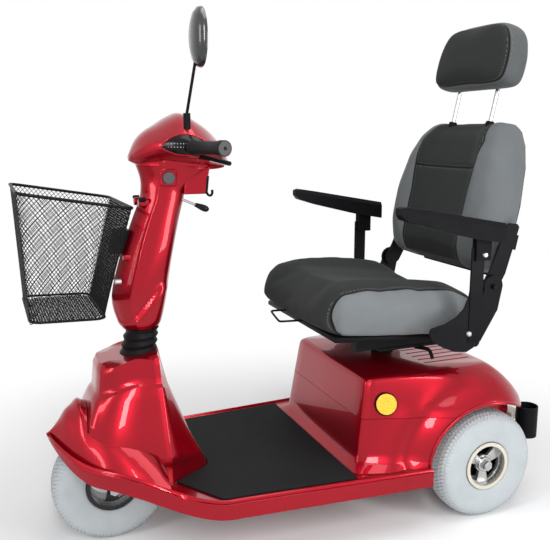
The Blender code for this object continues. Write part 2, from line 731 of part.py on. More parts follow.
# Steering
def make_fork():
    """Fork in the raked frame of the steering axis: legs, crown and stem."""
    inner = TYRE_W / 2.0 + FORK_GAP
    crown_s = TYRE_R + CROWN_CLEAR
    turn = (0.0, -RAKE, 0.0)
    obj = block("steering_fork", (FORK_W + 0.014, 2.0 * (inner + FORK_T), CROWN_T),
                on_axis(crown_s + CROWN_T / 2.0), BLACK_STEEL, "steering", 0.0, turn)
    leg_l = crown_s + CROWN_T
    for sign in (1.0, -1.0):
        leg = block("leg_%d" % sign, (FORK_W, FORK_T, leg_l),
                    on_axis(leg_l / 2.0, 0.0, sign * (inner + FORK_T / 2.0)), None, None, 0.0,
                    turn)
        eye = rod("eye_%d" % sign, FORK_W / 2.0, FORK_T,
                  on_axis(0.0, 0.0, sign * (inner + FORK_T / 2.0)), None, None,
                  (90.0, 0.0, 0.0), 24)
        unite(obj, leg, eye)
    stem_l = TILT_PIVOT_S - 0.012 - crown_s
    stem = rod("stem", STEM_R, stem_l, on_axis(crown_s + stem_l / 2.0), None, None, turn, 32)
    clevis = block("clevis", (0.020, 0.018, 0.034), on_axis(TILT_PIVOT_S - 0.007), None, None,
                   0.0, turn)
    unite(obj, stem, clevis)
    cut(obj, rod("clevis_bore", TILT_PIN_R + RUN_GAP, 0.050, PIVOT, None, None,
                 (90.0, 0.0, 0.0), 16))
    cut(obj, rod("fork_bore", FRONT_SHAFT_R + SEAT_GAP, 0.200, on_axis(0.0), None, None,
                 (90.0, 0.0, 0.0), 24))
    reach = inner + FORK_T + SEAT_GAP
    axle = rod("front_axle", FRONT_SHAFT_R, 2.0 * (reach + NUT_L + THREAD), on_axis(0.0), STEEL,
               "steering", (90.0, 0.0, 0.0), 24)
    for sign in (1.0, -1.0):
        x, _, z = on_axis(0.0)
        unite(axle, rod("front_nut_%d" % sign, NUT_R, NUT_L,
                        (x, sign * (reach + NUT_L / 2.0), z), None, None, (90.0, 0.0, 0.0), 6))


make_fork()


def make_boot():
    """Ribbed rubber bellows between the cowl's top and the tiller's foot."""
    low_x, _, _ = on_axis(TILT_PIVOT_S - 0.020)
    rows = []
    for k in range(2 * BOOT_RIBS + 1):
        f = k / (2.0 * BOOT_RIBS)
        r = BOOT_R * (1.0 - 0.10 * f) - (0.005 if k % 2 else 0.0)
        rows.append((f, r))
    walls = rows + [(f, r - BOOT_WALL) for f, r in reversed(rows)] + [rows[0]]
    rings = []
    for f, r in walls:
        ring = []
        for i in range(BOOT_SIDES):
            a = 2.0 * math.pi * i / BOOT_SIDES
            x = low_x + r * math.cos(a) - f * BOOT_LEAN
            base = cowl_top_z(x) + SEAT_GAP
            ring.append((x, r * math.sin(a), base + f * (BOOT_TOP - base)))
        rings.append(ring)
    return loft("steering_boot", rings, BLACK, "chassis", (False, False))


make_boot()

# Tiller column: columns height, rear x, front x, half width and crest x
COLUMN = (
    (0.480, 0.717, 0.796, 0.034, 0.764),
    (0.500, 0.708, 0.808, 0.042, 0.776),
    (0.555, 0.696, 0.818, 0.049, 0.784),
    (0.640, 0.681, 0.797, 0.047, 0.764),
    (0.710, 0.666, 0.772, 0.043, 0.742),
    (0.772, 0.651, 0.750, 0.040, 0.720),
    (0.7990, 0.646, 0.741, 0.042, 0.712),
)


def column_ring(row):
    """Section of the column with a crest along each flank."""
    z, rear, front, half, crest = row
    half_pts = [(rear, 0.0), (rear + 0.005, 0.50 * half), (rear + 0.016, 0.80 * half),
                (0.45 * rear + 0.55 * crest, 0.90 * half), (crest - 0.008, 0.97 * half),
                (crest, half), (crest + 0.006, 0.92 * half),
                (0.35 * crest + 0.65 * front, 0.60 * half), (front - 0.003, 0.28 * half),
                (front, 0.0)]
    return mirror_ring([(x + AHEAD, y, z + RISE) for x, y in half_pts])


def make_column():
    """Tiller column: lofted cover with a slotted foot that straddles the pivot."""
    obj = loft("tiller_column", [column_ring(row) for row in fair(COLUMN, 2)], RED, "tiller")
    x, _, z = PIVOT
    for sign in (1.0, -1.0):
        ear = block("ear_%d" % sign, (0.018, 0.006, 0.060), (x, sign * 0.0125, z + 0.022), None,
                    None)
        unite(obj, ear)
    unite(obj, rod("tilt_pin", TILT_PIN_R, 0.036, PIVOT, None, None, (90.0, 0.0, 0.0), 16))
    return obj


make_column()

# Head: columns x, pod half width, top z, pod z, underside z, neck half width, bottom z
HEAD = (
    (0.771, 0.010, 0.858, 0.854, 0.850, 0.006, 0.8460),
    (0.756, 0.040, 0.888, 0.868, 0.848, 0.026, 0.8340),
    (0.738, 0.062, 0.907, 0.877, 0.852, 0.038, 0.8100),
    (0.714, 0.086, 0.922, 0.882, 0.857, 0.043, 0.8003),
    (0.688, 0.108, 0.938, 0.882, 0.856, 0.045, 0.8003),
    (0.662, 0.121, 0.947, 0.879, 0.853, 0.045, 0.8003),
    (0.634, 0.124, 0.933, 0.873, 0.850, 0.043, 0.8030),
    (0.606, 0.112, 0.914, 0.864, 0.844, 0.036, 0.8110),
    (0.580, 0.080, 0.888, 0.853, 0.838, 0.024, 0.8220),
    (0.561, 0.040, 0.856, 0.842, 0.834, 0.012, 0.8290),
)


def head_ring(row):
    """Section of the head across the vehicle: a hood, a pod at each side and a neck."""
    x, half, top, pod, under, neck, low = row
    half_pts = [(0.0, top), (0.25 * half, top - 0.05 * (top - pod)),
                (0.50 * half, top - 0.22 * (top - pod)), (0.76 * half, pod + 0.46 * (top - pod)),
                (0.94 * half, pod + 0.18 * (top - pod)), (half, pod),
                (0.97 * half, under + 0.35 * (pod - under)), (0.84 * half, under),
                (0.45 * half + 0.55 * neck, under - 0.16 * (under - low)),
                (neck, under - 0.45 * (under - low)), (0.96 * neck, low + 0.10 * (under - low)),
                (0.70 * neck, low), (0.0, low)]
    return mirror_ring([(x + AHEAD, y, z + RISE) for y, z in half_pts])


head = loft("tiller_head", [head_ring(row) for row in fair(HEAD, 2)], RED, "tiller")


def grip_point(y, sign, lift=0.0):
    """A point on the handlebar's swept axis."""
    back = (y - GRIP_Y0) * math.tan(math.radians(GRIP_SWEEP))
    return (WHEELBASE - 0.173 - back, sign * y, TYRE_R + 0.745 + lift)


for side, sign in (("left", 1.0), ("right", -1.0)):
    ends = [grip_point(GRIP_Y0, sign), grip_point(GRIP_Y0 + GRIP_L, sign)]
    grip = bar("grip_" + side, ends, GRIP_R, RUBBER, "tiller", 4)
    lever_path = rounded([grip_point(0.103, sign, -0.0195), grip_point(0.150, sign, -0.022),
                          grip_point(0.218, sign, -0.0295)], 0.02)
    lever_path = [(p[0] - 0.026, p[1], p[2]) for p in lever_path]
    bar("lever_" + side, lever_path, LEVER_R, BLACK, "tiller")
    lead = Vector(lever_path[0]) * 2.0 - Vector(lever_path[1])
    lever_hole = [lead.lerp(Vector(lever_path[0]), 0.9)] + lever_path
    cut(grip, bar("bar_bore_" + side, [grip_point(0.02, sign),
                                       grip_point(GRIP_Y0 + GRIP_L - 0.0077, sign)],
                  BAR_R + SEAT_GAP, None, None))
    cut(head,
        bar("lever_bore_" + side, lever_hole, LEVER_R + SEAT_GAP, None, None))

handles = [grip_point(GRIP_Y0 + GRIP_L - 0.008, 1.0), grip_point(0.0, 1.0),
           grip_point(GRIP_Y0 + GRIP_L - 0.008, -1.0)]
bar("handlebar", handles, BAR_R, BLACK_STEEL, "tiller")
cut(head, bar("head_bore", [grip_point(0.30, 1.0), grip_point(0.0, 1.0),
                            grip_point(0.30, -1.0)], BAR_R + SEAT_GAP, None, None))
block("console_box", (0.046, 0.072, 0.034), (WHEELBASE - 0.217, 0.0, TYRE_R + 0.6550), RED,
      "tiller", 0.004)
lever_root = (WHEELBASE - 0.1822, 0.020, TYRE_R + 0.6308)
lever_mid = (WHEELBASE - 0.216, 0.020, TYRE_R + 0.617)
lever_rod = bar("tilt_lever", [lever_root, lever_mid], 0.0035, BLACK_STEEL, "tiller")
knob = bar("tilt_knob", [(WHEELBASE - 0.210, 0.020, TYRE_R + 0.6195),
                         (WHEELBASE - 0.238, 0.020, TYRE_R + 0.608)], 0.0085, None, None)
unite(lever_rod, knob)

# Mirror on the left side only
STALK_AT = (WHEELBASE - 0.1743, 0.0846, TYRE_R + 0.786)
MIRROR_X = WHEELBASE - 0.191
MIRROR_Y = 0.118
MIRROR_Z = TYRE_R + 0.961
STALK_R = 0.0032
MIRROR = ((0.004, 0.0150), (0.022, 0.0135), (0.036, 0.0085), (0.0435, 0.0010), (0.0450, -0.0060),
          (0.0440, -0.0090))


def make_mirror():
    """Domed oval mirror on a thin stalk that stands in a tapered socket."""
    x, y, z = STALK_AT
    path = rounded([(x, y, z - 0.028), (x, y, z + 0.026),
                    (MIRROR_X + 0.0035, MIRROR_Y - 0.004, MIRROR_Z - 0.040),
                    (MIRROR_X + 0.004, MIRROR_Y, MIRROR_Z - 0.012)], 0.015)
    stalk = bar("mirror_stalk", path, STALK_R, BLACK_STEEL, "tiller")
    rings = []
    for r, h in MIRROR:
        rings.append([(MIRROR_X + h, MIRROR_Y + 0.92 * r * math.cos(a),
                       MIRROR_Z + 1.32 * r * math.sin(a))
                      for a in np.linspace(0.0, 2.0 * math.pi, 25)[:-1]])
    glass = loft("mirror_head", rings, BLACK, "tiller")
    cut(glass, bar("stalk_bore", path[:-1] + [path[-1] + (path[-1] - path[-2]) * 0.05],
                   STALK_R + SEAT_GAP, None, None))
    unite(stalk, rod("mirror_socket", 0.0075, 0.048, (x, y, z + 0.004), None, None))
    cut(head, rod("socket_bore", 0.0075 + SEAT_GAP, 0.080, (x, y, z + 0.0197), None, None,
                  (0.0, 0.0, 7.0)),
        bar("stalk_foot_bore", [(x, y, z - 0.0283), (x, y, z + 0.010)], STALK_R + SEAT_GAP, None,
            None))


make_mirror()


# Basket: columns level, rear x, front x, half width, rear z, front z
BASKET = (
    (0.00, WHEELBASE + 0.013, WHEELBASE + 0.158, 0.129, TYRE_R + 0.408, TYRE_R + 0.412),
    (1.00, BASKET_REAR, BASKET_FRONT, BASKET_HALF_W, TYRE_R + 0.628, TYRE_R + 0.664),
)
BASKET_CORNER = 0.022
BASKET_BAR = 0.0050
CELLS_LONG = 5
CELLS_WIDE = 7
CELLS_UP = 3


def spaced(low, high, cells, margin):
    """Stations for bars and gaps in turn between two ends, with wider bars at the ends."""
    pitch = (high - low - 2.0 * margin + BASKET_BAR) / cells
    out = [low]
    for i in range(cells):
        start = low + margin + i * pitch
        out += [start, start + pitch - BASKET_BAR]
    out.append(high)
    return out


def basket_plan(rear, front, half):
    """Plan points round the basket, each with True where a gap may follow it."""
    mid = 0.5 * (rear + front)
    reach_x = 0.5 * (front - rear)
    pts = []
    for turn in range(4):
        a0 = 90.0 * turn - 90.0
        sx = (1.0, 1.0, -1.0, -1.0)[turn]
        sy = (-1.0, 1.0, 1.0, -1.0)[turn]
        for k in range(3):
            a = math.radians(a0 + 45.0 * k)
            pts.append((mid + sx * (reach_x - BASKET_CORNER) + BASKET_CORNER * math.cos(a),
                        sy * (half - BASKET_CORNER) + BASKET_CORNER * math.sin(a), False))
        cells = CELLS_WIDE if turn in (0, 2) else CELLS_LONG
        length = 2.0 * ((half if turn in (0, 2) else reach_x) - BASKET_CORNER)
        run = spaced(0.0, length, cells, BASKET_BAR)[1:-1]
        x0, y0, _ = pts[-1]
        step = ((0.0, 1.0), (-1.0, 0.0), (0.0, -1.0), (1.0, 0.0))[turn]
        for k, s in enumerate(run):
            pts.append((x0 + step[0] * s, y0 + step[1] * s, k % 2 == 0))
    return pts


def make_basket():
    """Open basket: one thin wall and floor, both cut into a plain grid of bars."""
    levels = spaced(0.0, 1.0, CELLS_UP, 0.030)
    (_, r0, f0, h0, rz0, fz0), (_, r1, f1, h1, rz1, fz1) = BASKET
    verts = []
    gaps = []
    for level in levels:
        keep = 1.0 - level
        rear, front, half = (keep * r0 + level * r1, keep * f0 + level * f1,
                             keep * h0 + level * h1)
        for x, y, gap in basket_plan(rear, front, half):
            share = (x - rear) / (front - rear)
            z = keep * (rz0 + (fz0 - rz0) * share) + level * (rz1 + (fz1 - rz1) * share)
            verts.append((x, y, z))
            gaps.append(gap)
    count = len(verts) // len(levels)
    faces = []
    for face in ring_faces(len(levels), count):
        row, i = divmod(face[0], count)
        if row % 2 == 1 and gaps[i]:
            continue
        faces.append(face)
    mesh = bpy.data.meshes.new("basket")
    work = bmesh.new()
    spots = [work.verts.new(v) for v in verts]
    for face in faces:
        work.faces.new([spots[i] for i in face])
    xs = spaced(r0 + BASKET_CORNER, f0 - BASKET_CORNER, CELLS_LONG - 2, 0.0)
    ys = spaced(-h0 + BASKET_CORNER, h0 - BASKET_CORNER, CELLS_WIDE - 2, 0.0)
    work.faces.new([spots[i] for i in range(count)][::-1])
    bmesh.ops.recalc_face_normals(work, faces=work.faces)
    work.to_mesh(mesh)
    work.free()
    obj = add("basket", mesh, BLACK_STEEL, "tiller")
    wall = obj.modifiers.new("wall", "SOLIDIFY")
    wall.thickness = BASKET_WALL
    wall.offset = -1.0
    holes = bpy.data.meshes.new("basket_floor_holes")
    work = bmesh.new()
    for i in range(1, len(xs) - 1, 2):
        for j in range(1, len(ys) - 1, 2):
            cube = bmesh.ops.create_cube(work, size=1.0)["verts"]
            size = Vector((xs[i + 1] - xs[i], ys[j + 1] - ys[j], 10.0 * BASKET_WALL))
            bmesh.ops.scale(work, vec=size, verts=cube)
            bmesh.ops.translate(work, verts=cube, vec=Vector(
                (0.5 * (xs[i] + xs[i + 1]), 0.5 * (ys[j] + ys[j + 1]), rz0)))
    work.to_mesh(holes)
    work.free()
    cut(obj, add("basket_floor_holes", holes, None, None))


make_basket()


def make_bracket():
    """Bracket between the column's front and the basket's rear wall."""
    def column_x(z):
        table = np.array(fair(COLUMN, 2))
        return AHEAD + float(np.interp(z - RISE, table[:, 0], table[:, 2]))

    def basket_x(z):
        (_, x0, _, _, z0, _), (_, x1, _, _, z1, _) = BASKET
        return x0 + (x1 - x0) * (z - z0) / (z1 - z0)

    outline = [(basket_x(z) - 1.1 * SEAT_GAP, z) for z in BRACKET_Z]
    outline += [(column_x(z) + 1.5 * SEAT_GAP, z) for z in np.linspace(*BRACKET_Z[::-1], 5)]
    plate("basket_bracket", outline, 2.0 * BRACKET_HALF_W, BLACK_STEEL, "tiller",
          lambda a, b, t: (a, t - BRACKET_HALF_W, b))


make_bracket()

# Rear body: one row per level, with the half outline's points
REAR_LEVELS = (
    # z, front x, corner y, side x, side y, flare x, flare y, hip y, tail x, tail y
    (BODY_BOTTOM, 0.332, 0.226, 0.250, 0.248, 0.175, 0.258, 0.277, -0.135, 0.200),
    (TYRE_R + 0.036, 0.317, 0.204, 0.245, 0.232, 0.170, 0.254, 0.277, -0.135, 0.200),
    (SEAM_Z, 0.303, 0.197, 0.230, 0.216, 0.145, 0.250, 0.278, -0.124, 0.200),
    (TYRE_R + 0.168, 0.298, 0.194, 0.220, 0.207, 0.120, 0.236, 0.273, -0.107, 0.197),
    (TYRE_R + 0.198, 0.294, 0.191, 0.205, 0.200, 0.105, 0.216, 0.246, -0.082, 0.190),
    (TYRE_R + 0.216, 0.291, 0.188, 0.200, 0.196, 0.100, 0.205, 0.216, -0.062, 0.180),
    (BODY_TOP - 0.004, 0.287, 0.184, 0.200, 0.192, 0.100, 0.198, 0.203, -0.052, 0.172),
    (BODY_TOP, 0.280, 0.178, 0.198, 0.186, 0.100, 0.190, 0.194, -0.044, 0.164),
)

SEAM_LEVEL = 2


def rear_ring(row):
    """Closed outline of one level of the rear body."""
    z, fx, cy, sx, sy, lx, ly, hy, tx, ty = row
    cy, sy, ly, hy, ty = [y + TRACK / 2.0 - TRACK_DRAWN / 2.0 for y in (cy, sy, ly, hy, ty)]
    return mirror_ring([(fx, 0.0, z), (fx - 0.001, cy - 0.018, z), (fx - 0.004, cy - 0.006, z),
                        (fx - 0.014, cy + 0.001, z), (sx, sy, z), (lx, ly, z),
                        (0.4 * lx, 0.35 * ly + 0.65 * hy + 0.001, z), (0.0, hy, z),
                        (tx * 0.45, hy - 0.003, z), (tx * 0.85, 0.5 * (hy + ty) + 0.004, z),
                        (tx, ty, z), (tx - 0.003, 0.0, z)])


def inset(ring, z):
    """A rear body outline moved in by the sheet's thickness, at height z."""
    out = []
    for x, y, _ in ring:
        step = math.copysign(BODY_SHEET, y) if abs(y) > 1e-6 else 0.0
        out.append((x - math.copysign(BODY_SHEET, x - 0.1), y - step, z))
    return out


def rear_shell(name, rings, lid):
    """Thin shell over the batteries and transaxle, with wheel wells, open below."""
    obj = loft(name, rings, RED, "chassis", angle=22.0)
    inner = [inset(rings[0], rings[0][0][2] - 0.010)]
    inner += [inset(ring, ring[0][2]) for ring in rings[1:-1]]
    top = rings[-1][0][2]
    inner.append(inset(rings[-1], top - BODY_SHEET if lid else top + 0.010))
    core = loft(name + "_core", inner, None, None)
    for sign in (1.0, -1.0):
        well = rod("well_%s_%d" % (name, sign), ARCH_R + BODY_SHEET, 0.200,
                   (0.0, sign * (ARCH_IN - BODY_SHEET + 0.100), TYRE_R), None, None,
                   (90.0, 0.0, 0.0), 48)
        cut(core, well)
    cut(obj, core)
    return obj


def make_rear_body():
    """Lower body and upper cover, parted at the seam, with wheel arches."""
    rings = [rear_ring(row) for row in REAR_LEVELS]
    raised = [(x, y, z + SEAM_GAP) for x, y, z in rings[SEAM_LEVEL]]
    lower = rear_shell("rear_body_lower", rings[:SEAM_LEVEL + 1], False)
    upper = rear_shell("rear_cover", [raised] + rings[SEAM_LEVEL + 1:], True)
    for sign in (1.0, -1.0):
        arch = rod("arch_%d" % sign, ARCH_R, 0.200, (0.0, sign * (ARCH_IN + 0.100), TYRE_R),
                   None, None, (90.0, 0.0, 0.0), 48)
        cut(lower, arch)
        cut(upper, arch)
        cut(floor, arch)
    cut(upper, rod("post_hole", POST_R + 0.003, 0.100, (SWIVEL_X, 0.0, BODY_TOP), None, None))
    block("battery_pack", (0.100, 0.300, 0.170), (0.231, 0.0, DECK_Z + SEAT_GAP + 0.085), CASE,
          "chassis", 0.004)
    for side, sign in (("left", 1.0), ("right", -1.0)):
        normal = Vector(REFLECTOR_NORMAL).normalized()
        x, y, z = REFLECTOR_AT
        disc = rod("reflector_" + side, REFLECTOR_R, REFLECTOR_T, (x, sign * y, z), AMBER,
                   "chassis", sides=32)
        hole = rod("reflector_hole_" + side, REFLECTOR_R + SEAT_GAP, 0.030, (x, sign * y, z),
                   None, None, sides=32)
        for obj in (disc, hole):
            obj.rotation_euler = Vector((normal.x, sign * normal.y, normal.z)).to_track_quat(
                "Z", "Y").to_euler()
        cut(upper, hole)


make_rear_body()


# Seat post, swivel, slide and pan
def make_seat_base():
    """Post with a swivelling spindle, plate and slide rails."""
    deck = DECK_Z + SEAT_GAP
    inner = SPINDLE_R + RUN_GAP
    profile = [(POST_R, POST_TOP), (POST_R, deck + 0.006), (0.034, deck + 0.006),
               (0.034, deck), (inner, deck), (inner, POST_TOP)]
    turned("seat_post", profile, (SWIVEL_X, 0.0, 0.0), BLACK_STEEL, "chassis")
    plate_z = POST_TOP + SLIDE_GAP
    base = turned("swivel_base", [(0.0, plate_z + 0.008), (0.070, plate_z + 0.008),
                                  (0.072, plate_z + 0.006), (0.072, plate_z),
                                  (SPINDLE_R, plate_z), (SPINDLE_R, POST_TOP - 0.175),
                                  (0.0, POST_TOP - 0.175)],
                  (SWIVEL_X, 0.0, 0.0), BLACK_STEEL, "seat_swivel", closed=False)
    rail_z = plate_z + 0.008
    tools = [block("cross_plate", (0.180, 0.290, 0.006), (SWIVEL_X, 0.0, rail_z + 0.002), None,
                   None)]
    for sign in (1.0, -1.0):
        tools.append(block("lower_rail_%d" % sign, (0.280, 0.024, 0.014),
                           (SWIVEL_X + 0.010, sign * 0.130, rail_z + 0.011), None, None))
    lever = rounded([(SWIVEL_X, 0.060, plate_z + 0.004), (0.120, 0.140, plate_z + 0.004),
                     (0.108, 0.168, plate_z + 0.006), (0.104, 0.176, plate_z - 0.016)], 0.02)
    tools.append(bar("swivel_lever", lever, 0.0045, None, None))
    unite(base, *tools)
    return rail_z + 0.018


rail_top = make_seat_base()


def make_pan():
    """Seat pan with its slide runners and the ears that the hinge plates bolt to."""
    low = rail_top + SLIDE_GAP
    obj = block("seat_pan", (0.360, 0.400, 0.012), (0.195, 0.0, low + 0.024), BLACK_STEEL,
                "seat", 0.003, (0.0, -SEAT_TILT, 0.0))
    tools = []
    for sign in (1.0, -1.0):
        y = sign * 0.130 - 0.015
        tools.append(plate("runner_%d" % sign,
                           [(0.010, low), (0.290, low), (0.290, low + 0.028), (0.010, low + 0.010)],
                           0.030, None, None, lambda a, b, t: (a, y + t, b)))
    tools.append(block("ears", (0.070, 0.4560, 0.010), (0.0465, 0.0, low + 0.010), None, None))
    unite(obj, *tools)
    return obj, low


pan, pan_z = make_pan()
EAR_Y = 0.228
HINGE_T = 0.006
HINGE_PIN_R = 0.006
BACK_ARM_Y = EAR_Y + HINGE_T + 0.0008


def arc(cx, cz, r, a0, a1, n=8):
    """Points along an arc in degrees."""
    return [(cx + r * math.cos(math.radians(a0 + (a1 - a0) * k / n)),
             cz + r * math.sin(math.radians(a0 + (a1 - a0) * k / n))) for k in range(n + 1)]


def back_point(u, w, y=0.0):
    """A point u up the leaning back from the hinge, w in front of it, and y across."""
    lean = math.radians(BACK_LEAN)
    return (HINGE_X - u * math.sin(lean) + w * math.cos(lean), y,
            HINGE_Z + u * math.cos(lean) + w * math.sin(lean))


def make_arms():
    """Hinge plates, armrest uprights and flip-up pads on both sides."""
    for side, sign in (("left", 1.0), ("right", -1.0)):
        outline = [(0.085, pan_z + 0.010), (0.078, pan_z + 0.0065), (0.014, pan_z + 0.0065),
                   (-0.030, 0.500)] + arc(HINGE_X, HINGE_Z, 0.026, 200.0, -20.0, 10)
        outline += [(0.030, 0.500), (0.060, pan_z + 0.030), (0.085, pan_z + 0.016)]
        unite(pan, plate("hinge_plate_" + side, outline, HINGE_T, None, None,
                         lambda a, b, t: (a, sign * (EAR_Y - 0.0005 + t), b)),
              rod("hinge_pin_" + side, HINGE_PIN_R, 0.013, (HINGE_X, sign * 0.2345, HINGE_Z), None,
                  None, (90.0, 0.0, 0.0), 20))
        low = pan_z + 0.0050 - SEAT_GAP - ARM_BAR_T / 2.0
        path = rounded([(0.0, 0.150, low), (0.0, ARM_Y, low), (0.0, ARM_Y, ARM_PIVOT_Z + 0.016)],
                       0.028, 5)
        inner = []
        outer = []
        for i, p in enumerate(path):
            q = path[min(i + 1, len(path) - 1)]
            o = path[max(i - 1, 0)]
            run = Vector((0.0, q[1] - o[1], q[2] - o[2])).normalized()
            off = Vector((0.0, -run[2], run[1])) * ARM_BAR_T / 2.0
            inner.append((p[1] + off[1], p[2] + off[2]))
            outer.append((p[1] - off[1], p[2] - off[2]))
        upright = plate("arm_upright_" + side, inner + outer[::-1], ARM_BAR_W, BLACK_STEEL, "seat",
                        lambda a, b, t: (ARM_BAR_X - ARM_BAR_W / 2.0 + t, sign * a, b))
        cut(upright, rod("arm_bore_" + side, 0.004 + RUN_GAP, 0.040,
                         (ARM_PIVOT_X, sign * ARM_Y, ARM_PIVOT_Z), None, None,
                         (90.0, 0.0, 0.0), 16))
        slope = math.radians(10.0)
        rear = ARM_PIVOT_X - 0.045

        def pad_ring(s, half, top, low_z):
            x = rear + s * math.cos(slope)
            z = ARM_PIVOT_Z + 0.070 + s * math.sin(slope)
            return [(x, sign * ARM_Y + half, z - low_z), (x, sign * ARM_Y + half, z - 0.010),
                    (x, sign * ARM_Y + 0.75 * half, z - top),
                    (x, sign * ARM_Y - 0.75 * half, z - top),
                    (x, sign * ARM_Y - half, z - 0.010), (x, sign * ARM_Y - half, z - low_z)]

        half = PAD_W / 2.0
        pad = loft("arm_pad_" + side,
                   [pad_ring(0.0, half, 0.0, PAD_T), pad_ring(0.08, half, 0.0, PAD_T),
                    pad_ring(0.200, half * 0.95, 0.0, PAD_T * 0.82),
                    pad_ring(0.255, half * 0.80, 0.001, PAD_T * 0.66),
                    pad_ring(PAD_L, half * 0.40, 0.006, PAD_T * 0.44)], BLACK,
                   "armrest_" + side)
        inner_y = ARM_BAR_T / 2.0 + 0.001
        for step in (1.0, -1.0):
            cheek = block("cheek_%s_%d" % (side, step), (0.040, 0.005, 0.056),
                          (ARM_PIVOT_X + 0.002, sign * ARM_Y + step * (inner_y + 0.0025),
                           ARM_PIVOT_Z + 0.016), None, None)
            unite(pad, cheek)
        unite(pad, rod("arm_pin_" + side, 0.004, 2.0 * inner_y + 0.012,
                       (ARM_PIVOT_X, sign * ARM_Y, ARM_PIVOT_Z), None, None,
                       (90.0, 0.0, 0.0), 16))


make_arms()
HANDLE_Z = pan_z + 0.0222
HANDLE_Y = 0.060
HANDLE_X = 0.424
bar("slide_handle", rounded([(0.320, -HANDLE_Y, HANDLE_Z), (HANDLE_X, -HANDLE_Y, HANDLE_Z),
                             (HANDLE_X, HANDLE_Y, HANDLE_Z), (0.320, HANDLE_Y, HANDLE_Z)],
                            0.014), 0.004, BLACK_STEEL, "seat")


def seat_point(x, y, h):
    """A point at height h over the tilted pan."""
    tilt = math.radians(SEAT_TILT)
    return (0.195 + (x - 0.195) * math.cos(tilt) - h * math.sin(tilt), y,
            pan_z + 0.030 + (x - 0.195) * math.sin(tilt) + h * math.cos(tilt))


def make_cushion():
    """Seat cushion: columns x, half width, side height, centre height."""
    table = fair(((0.000, 0.196, 0.070, 0.062), (0.022, 0.214, 0.092, 0.072),
                  (0.080, 0.223, 0.108, 0.078), (0.200, 0.226, 0.114, 0.084),
                  (0.310, 0.222, 0.112, 0.092), (0.365, 0.210, 0.104, 0.094),
                  (0.392, 0.190, 0.088, 0.086), (0.410, 0.160, 0.062, 0.064)), 1)
    rings = []
    for x, half, side, mid in table:
        low = 0.0009 if x < 0.38 else 0.9 * (x - 0.38)
        rings.append([seat_point(x, y, h) for y, h in (
            (0.0, mid), (0.45 * half, mid + 0.25 * (side - mid)), (0.72 * half, side),
            (0.92 * half, 0.96 * side), (half, 0.70 * side), (half, 0.25 * side),
            (0.93 * half, low), (0.0, low), (-0.93 * half, low), (-half, 0.25 * side),
            (-half, 0.70 * side), (-0.92 * half, 0.96 * side), (-0.72 * half, side),
            (-0.45 * half, mid + 0.25 * (side - mid)))])
    return loft("seat_cushion", rings, CHARCOAL, "seat")


make_cushion()


# Backrest: columns u, half width, bolster front, centre front
BACK = fair(((0.022, 0.166, 0.026, 0.014), (0.044, 0.192, 0.044, 0.022),
             (0.110, 0.208, 0.056, 0.026), (0.200, 0.208, 0.058, 0.026),
             (0.290, 0.194, 0.050, 0.024), (0.345, 0.172, 0.038, 0.018),
             (0.378, 0.146, 0.022, 0.010), (BACK_U, 0.118, 0.006, 0.000)), 1)
BACK_REAR = -0.058
BACK_SHELL_T = 0.016


def back_ring(u, half, side, mid, rear):
    """Section across the back cushion at height u."""
    half_pts = [(0.0, mid), (0.50 * half, mid + 0.1 * (side - mid)), (0.72 * half, side),
                (0.93 * half, 0.8 * side), (half, 0.25 * rear), (0.95 * half, rear), (0.0, rear)]
    ring = [back_point(u, w, y) for y, w in half_pts]
    ring += [back_point(u, w, -y) for y, w in reversed(half_pts[1:-1])]
    return ring


def make_back():
    """Back cushion, shell with hinge arms, post guides and the headrest."""
    cushion = loft("back_cushion", [back_ring(*row, BACK_REAR) for row in BACK], CHARCOAL,
                   "backrest")
    rows = []
    for u, half, _, _ in BACK:
        f = 0.98 * half
        rear = BACK_REAR - SEAT_GAP
        rows.append([back_point(u, w, y) for y, w in (
            (f, rear), (0.0, rear), (-f, rear), (-0.9 * f, rear - 0.8 * BACK_SHELL_T),
            (0.0, rear - BACK_SHELL_T), (0.9 * f, rear - 0.8 * BACK_SHELL_T))])
    shell = loft("back_shell", rows, BLACK, "backrest")
    for side, sign in (("left", 1.0), ("right", -1.0)):
        lean = math.radians(BACK_LEAN)
        outline = []
        for a, b in arc(0.0, 0.0, 0.0245, 180.0, 360.0, 8) + [(0.018, 0.060), (0.012, 0.145),
                                                              (-0.016, 0.145), (-0.020, 0.060)]:
            outline.append((HINGE_X + a * math.cos(lean) - b * math.sin(lean),
                            HINGE_Z + a * math.sin(lean) + b * math.cos(lean)))
        arm = plate("back_arm_%d" % sign, outline, 0.005, None, None,
                    lambda a, b, t: (a, sign * (BACK_ARM_Y + t), b))
        tab_l = BACK_ARM_Y + 0.0045 - 0.150
        tab = block("back_tab_%d" % sign, (0.012, tab_l, 0.036),
                    back_point(0.115, BACK_REAR - 0.0100, sign * (0.150 + tab_l / 2.0)), None,
                    None, 0.0, (0.0, -BACK_LEAN, 0.0))
        reach = block("back_reach_%d" % sign, (0.062, 0.0042, 0.030),
                      back_point(0.115, -0.0435, sign * (BACK_ARM_Y + 0.0025)), None, None, 0.0,
                      (0.0, -BACK_LEAN, 0.0))
        unite(shell, tab, reach, arm)
        cut(shell, rod("hinge_bore_%d" % sign, HINGE_PIN_R + RUN_GAP, 0.040,
                       (HINGE_X, sign * 0.240, HINGE_Z), None, None, (90.0, 0.0, 0.0), 20))
    return cushion


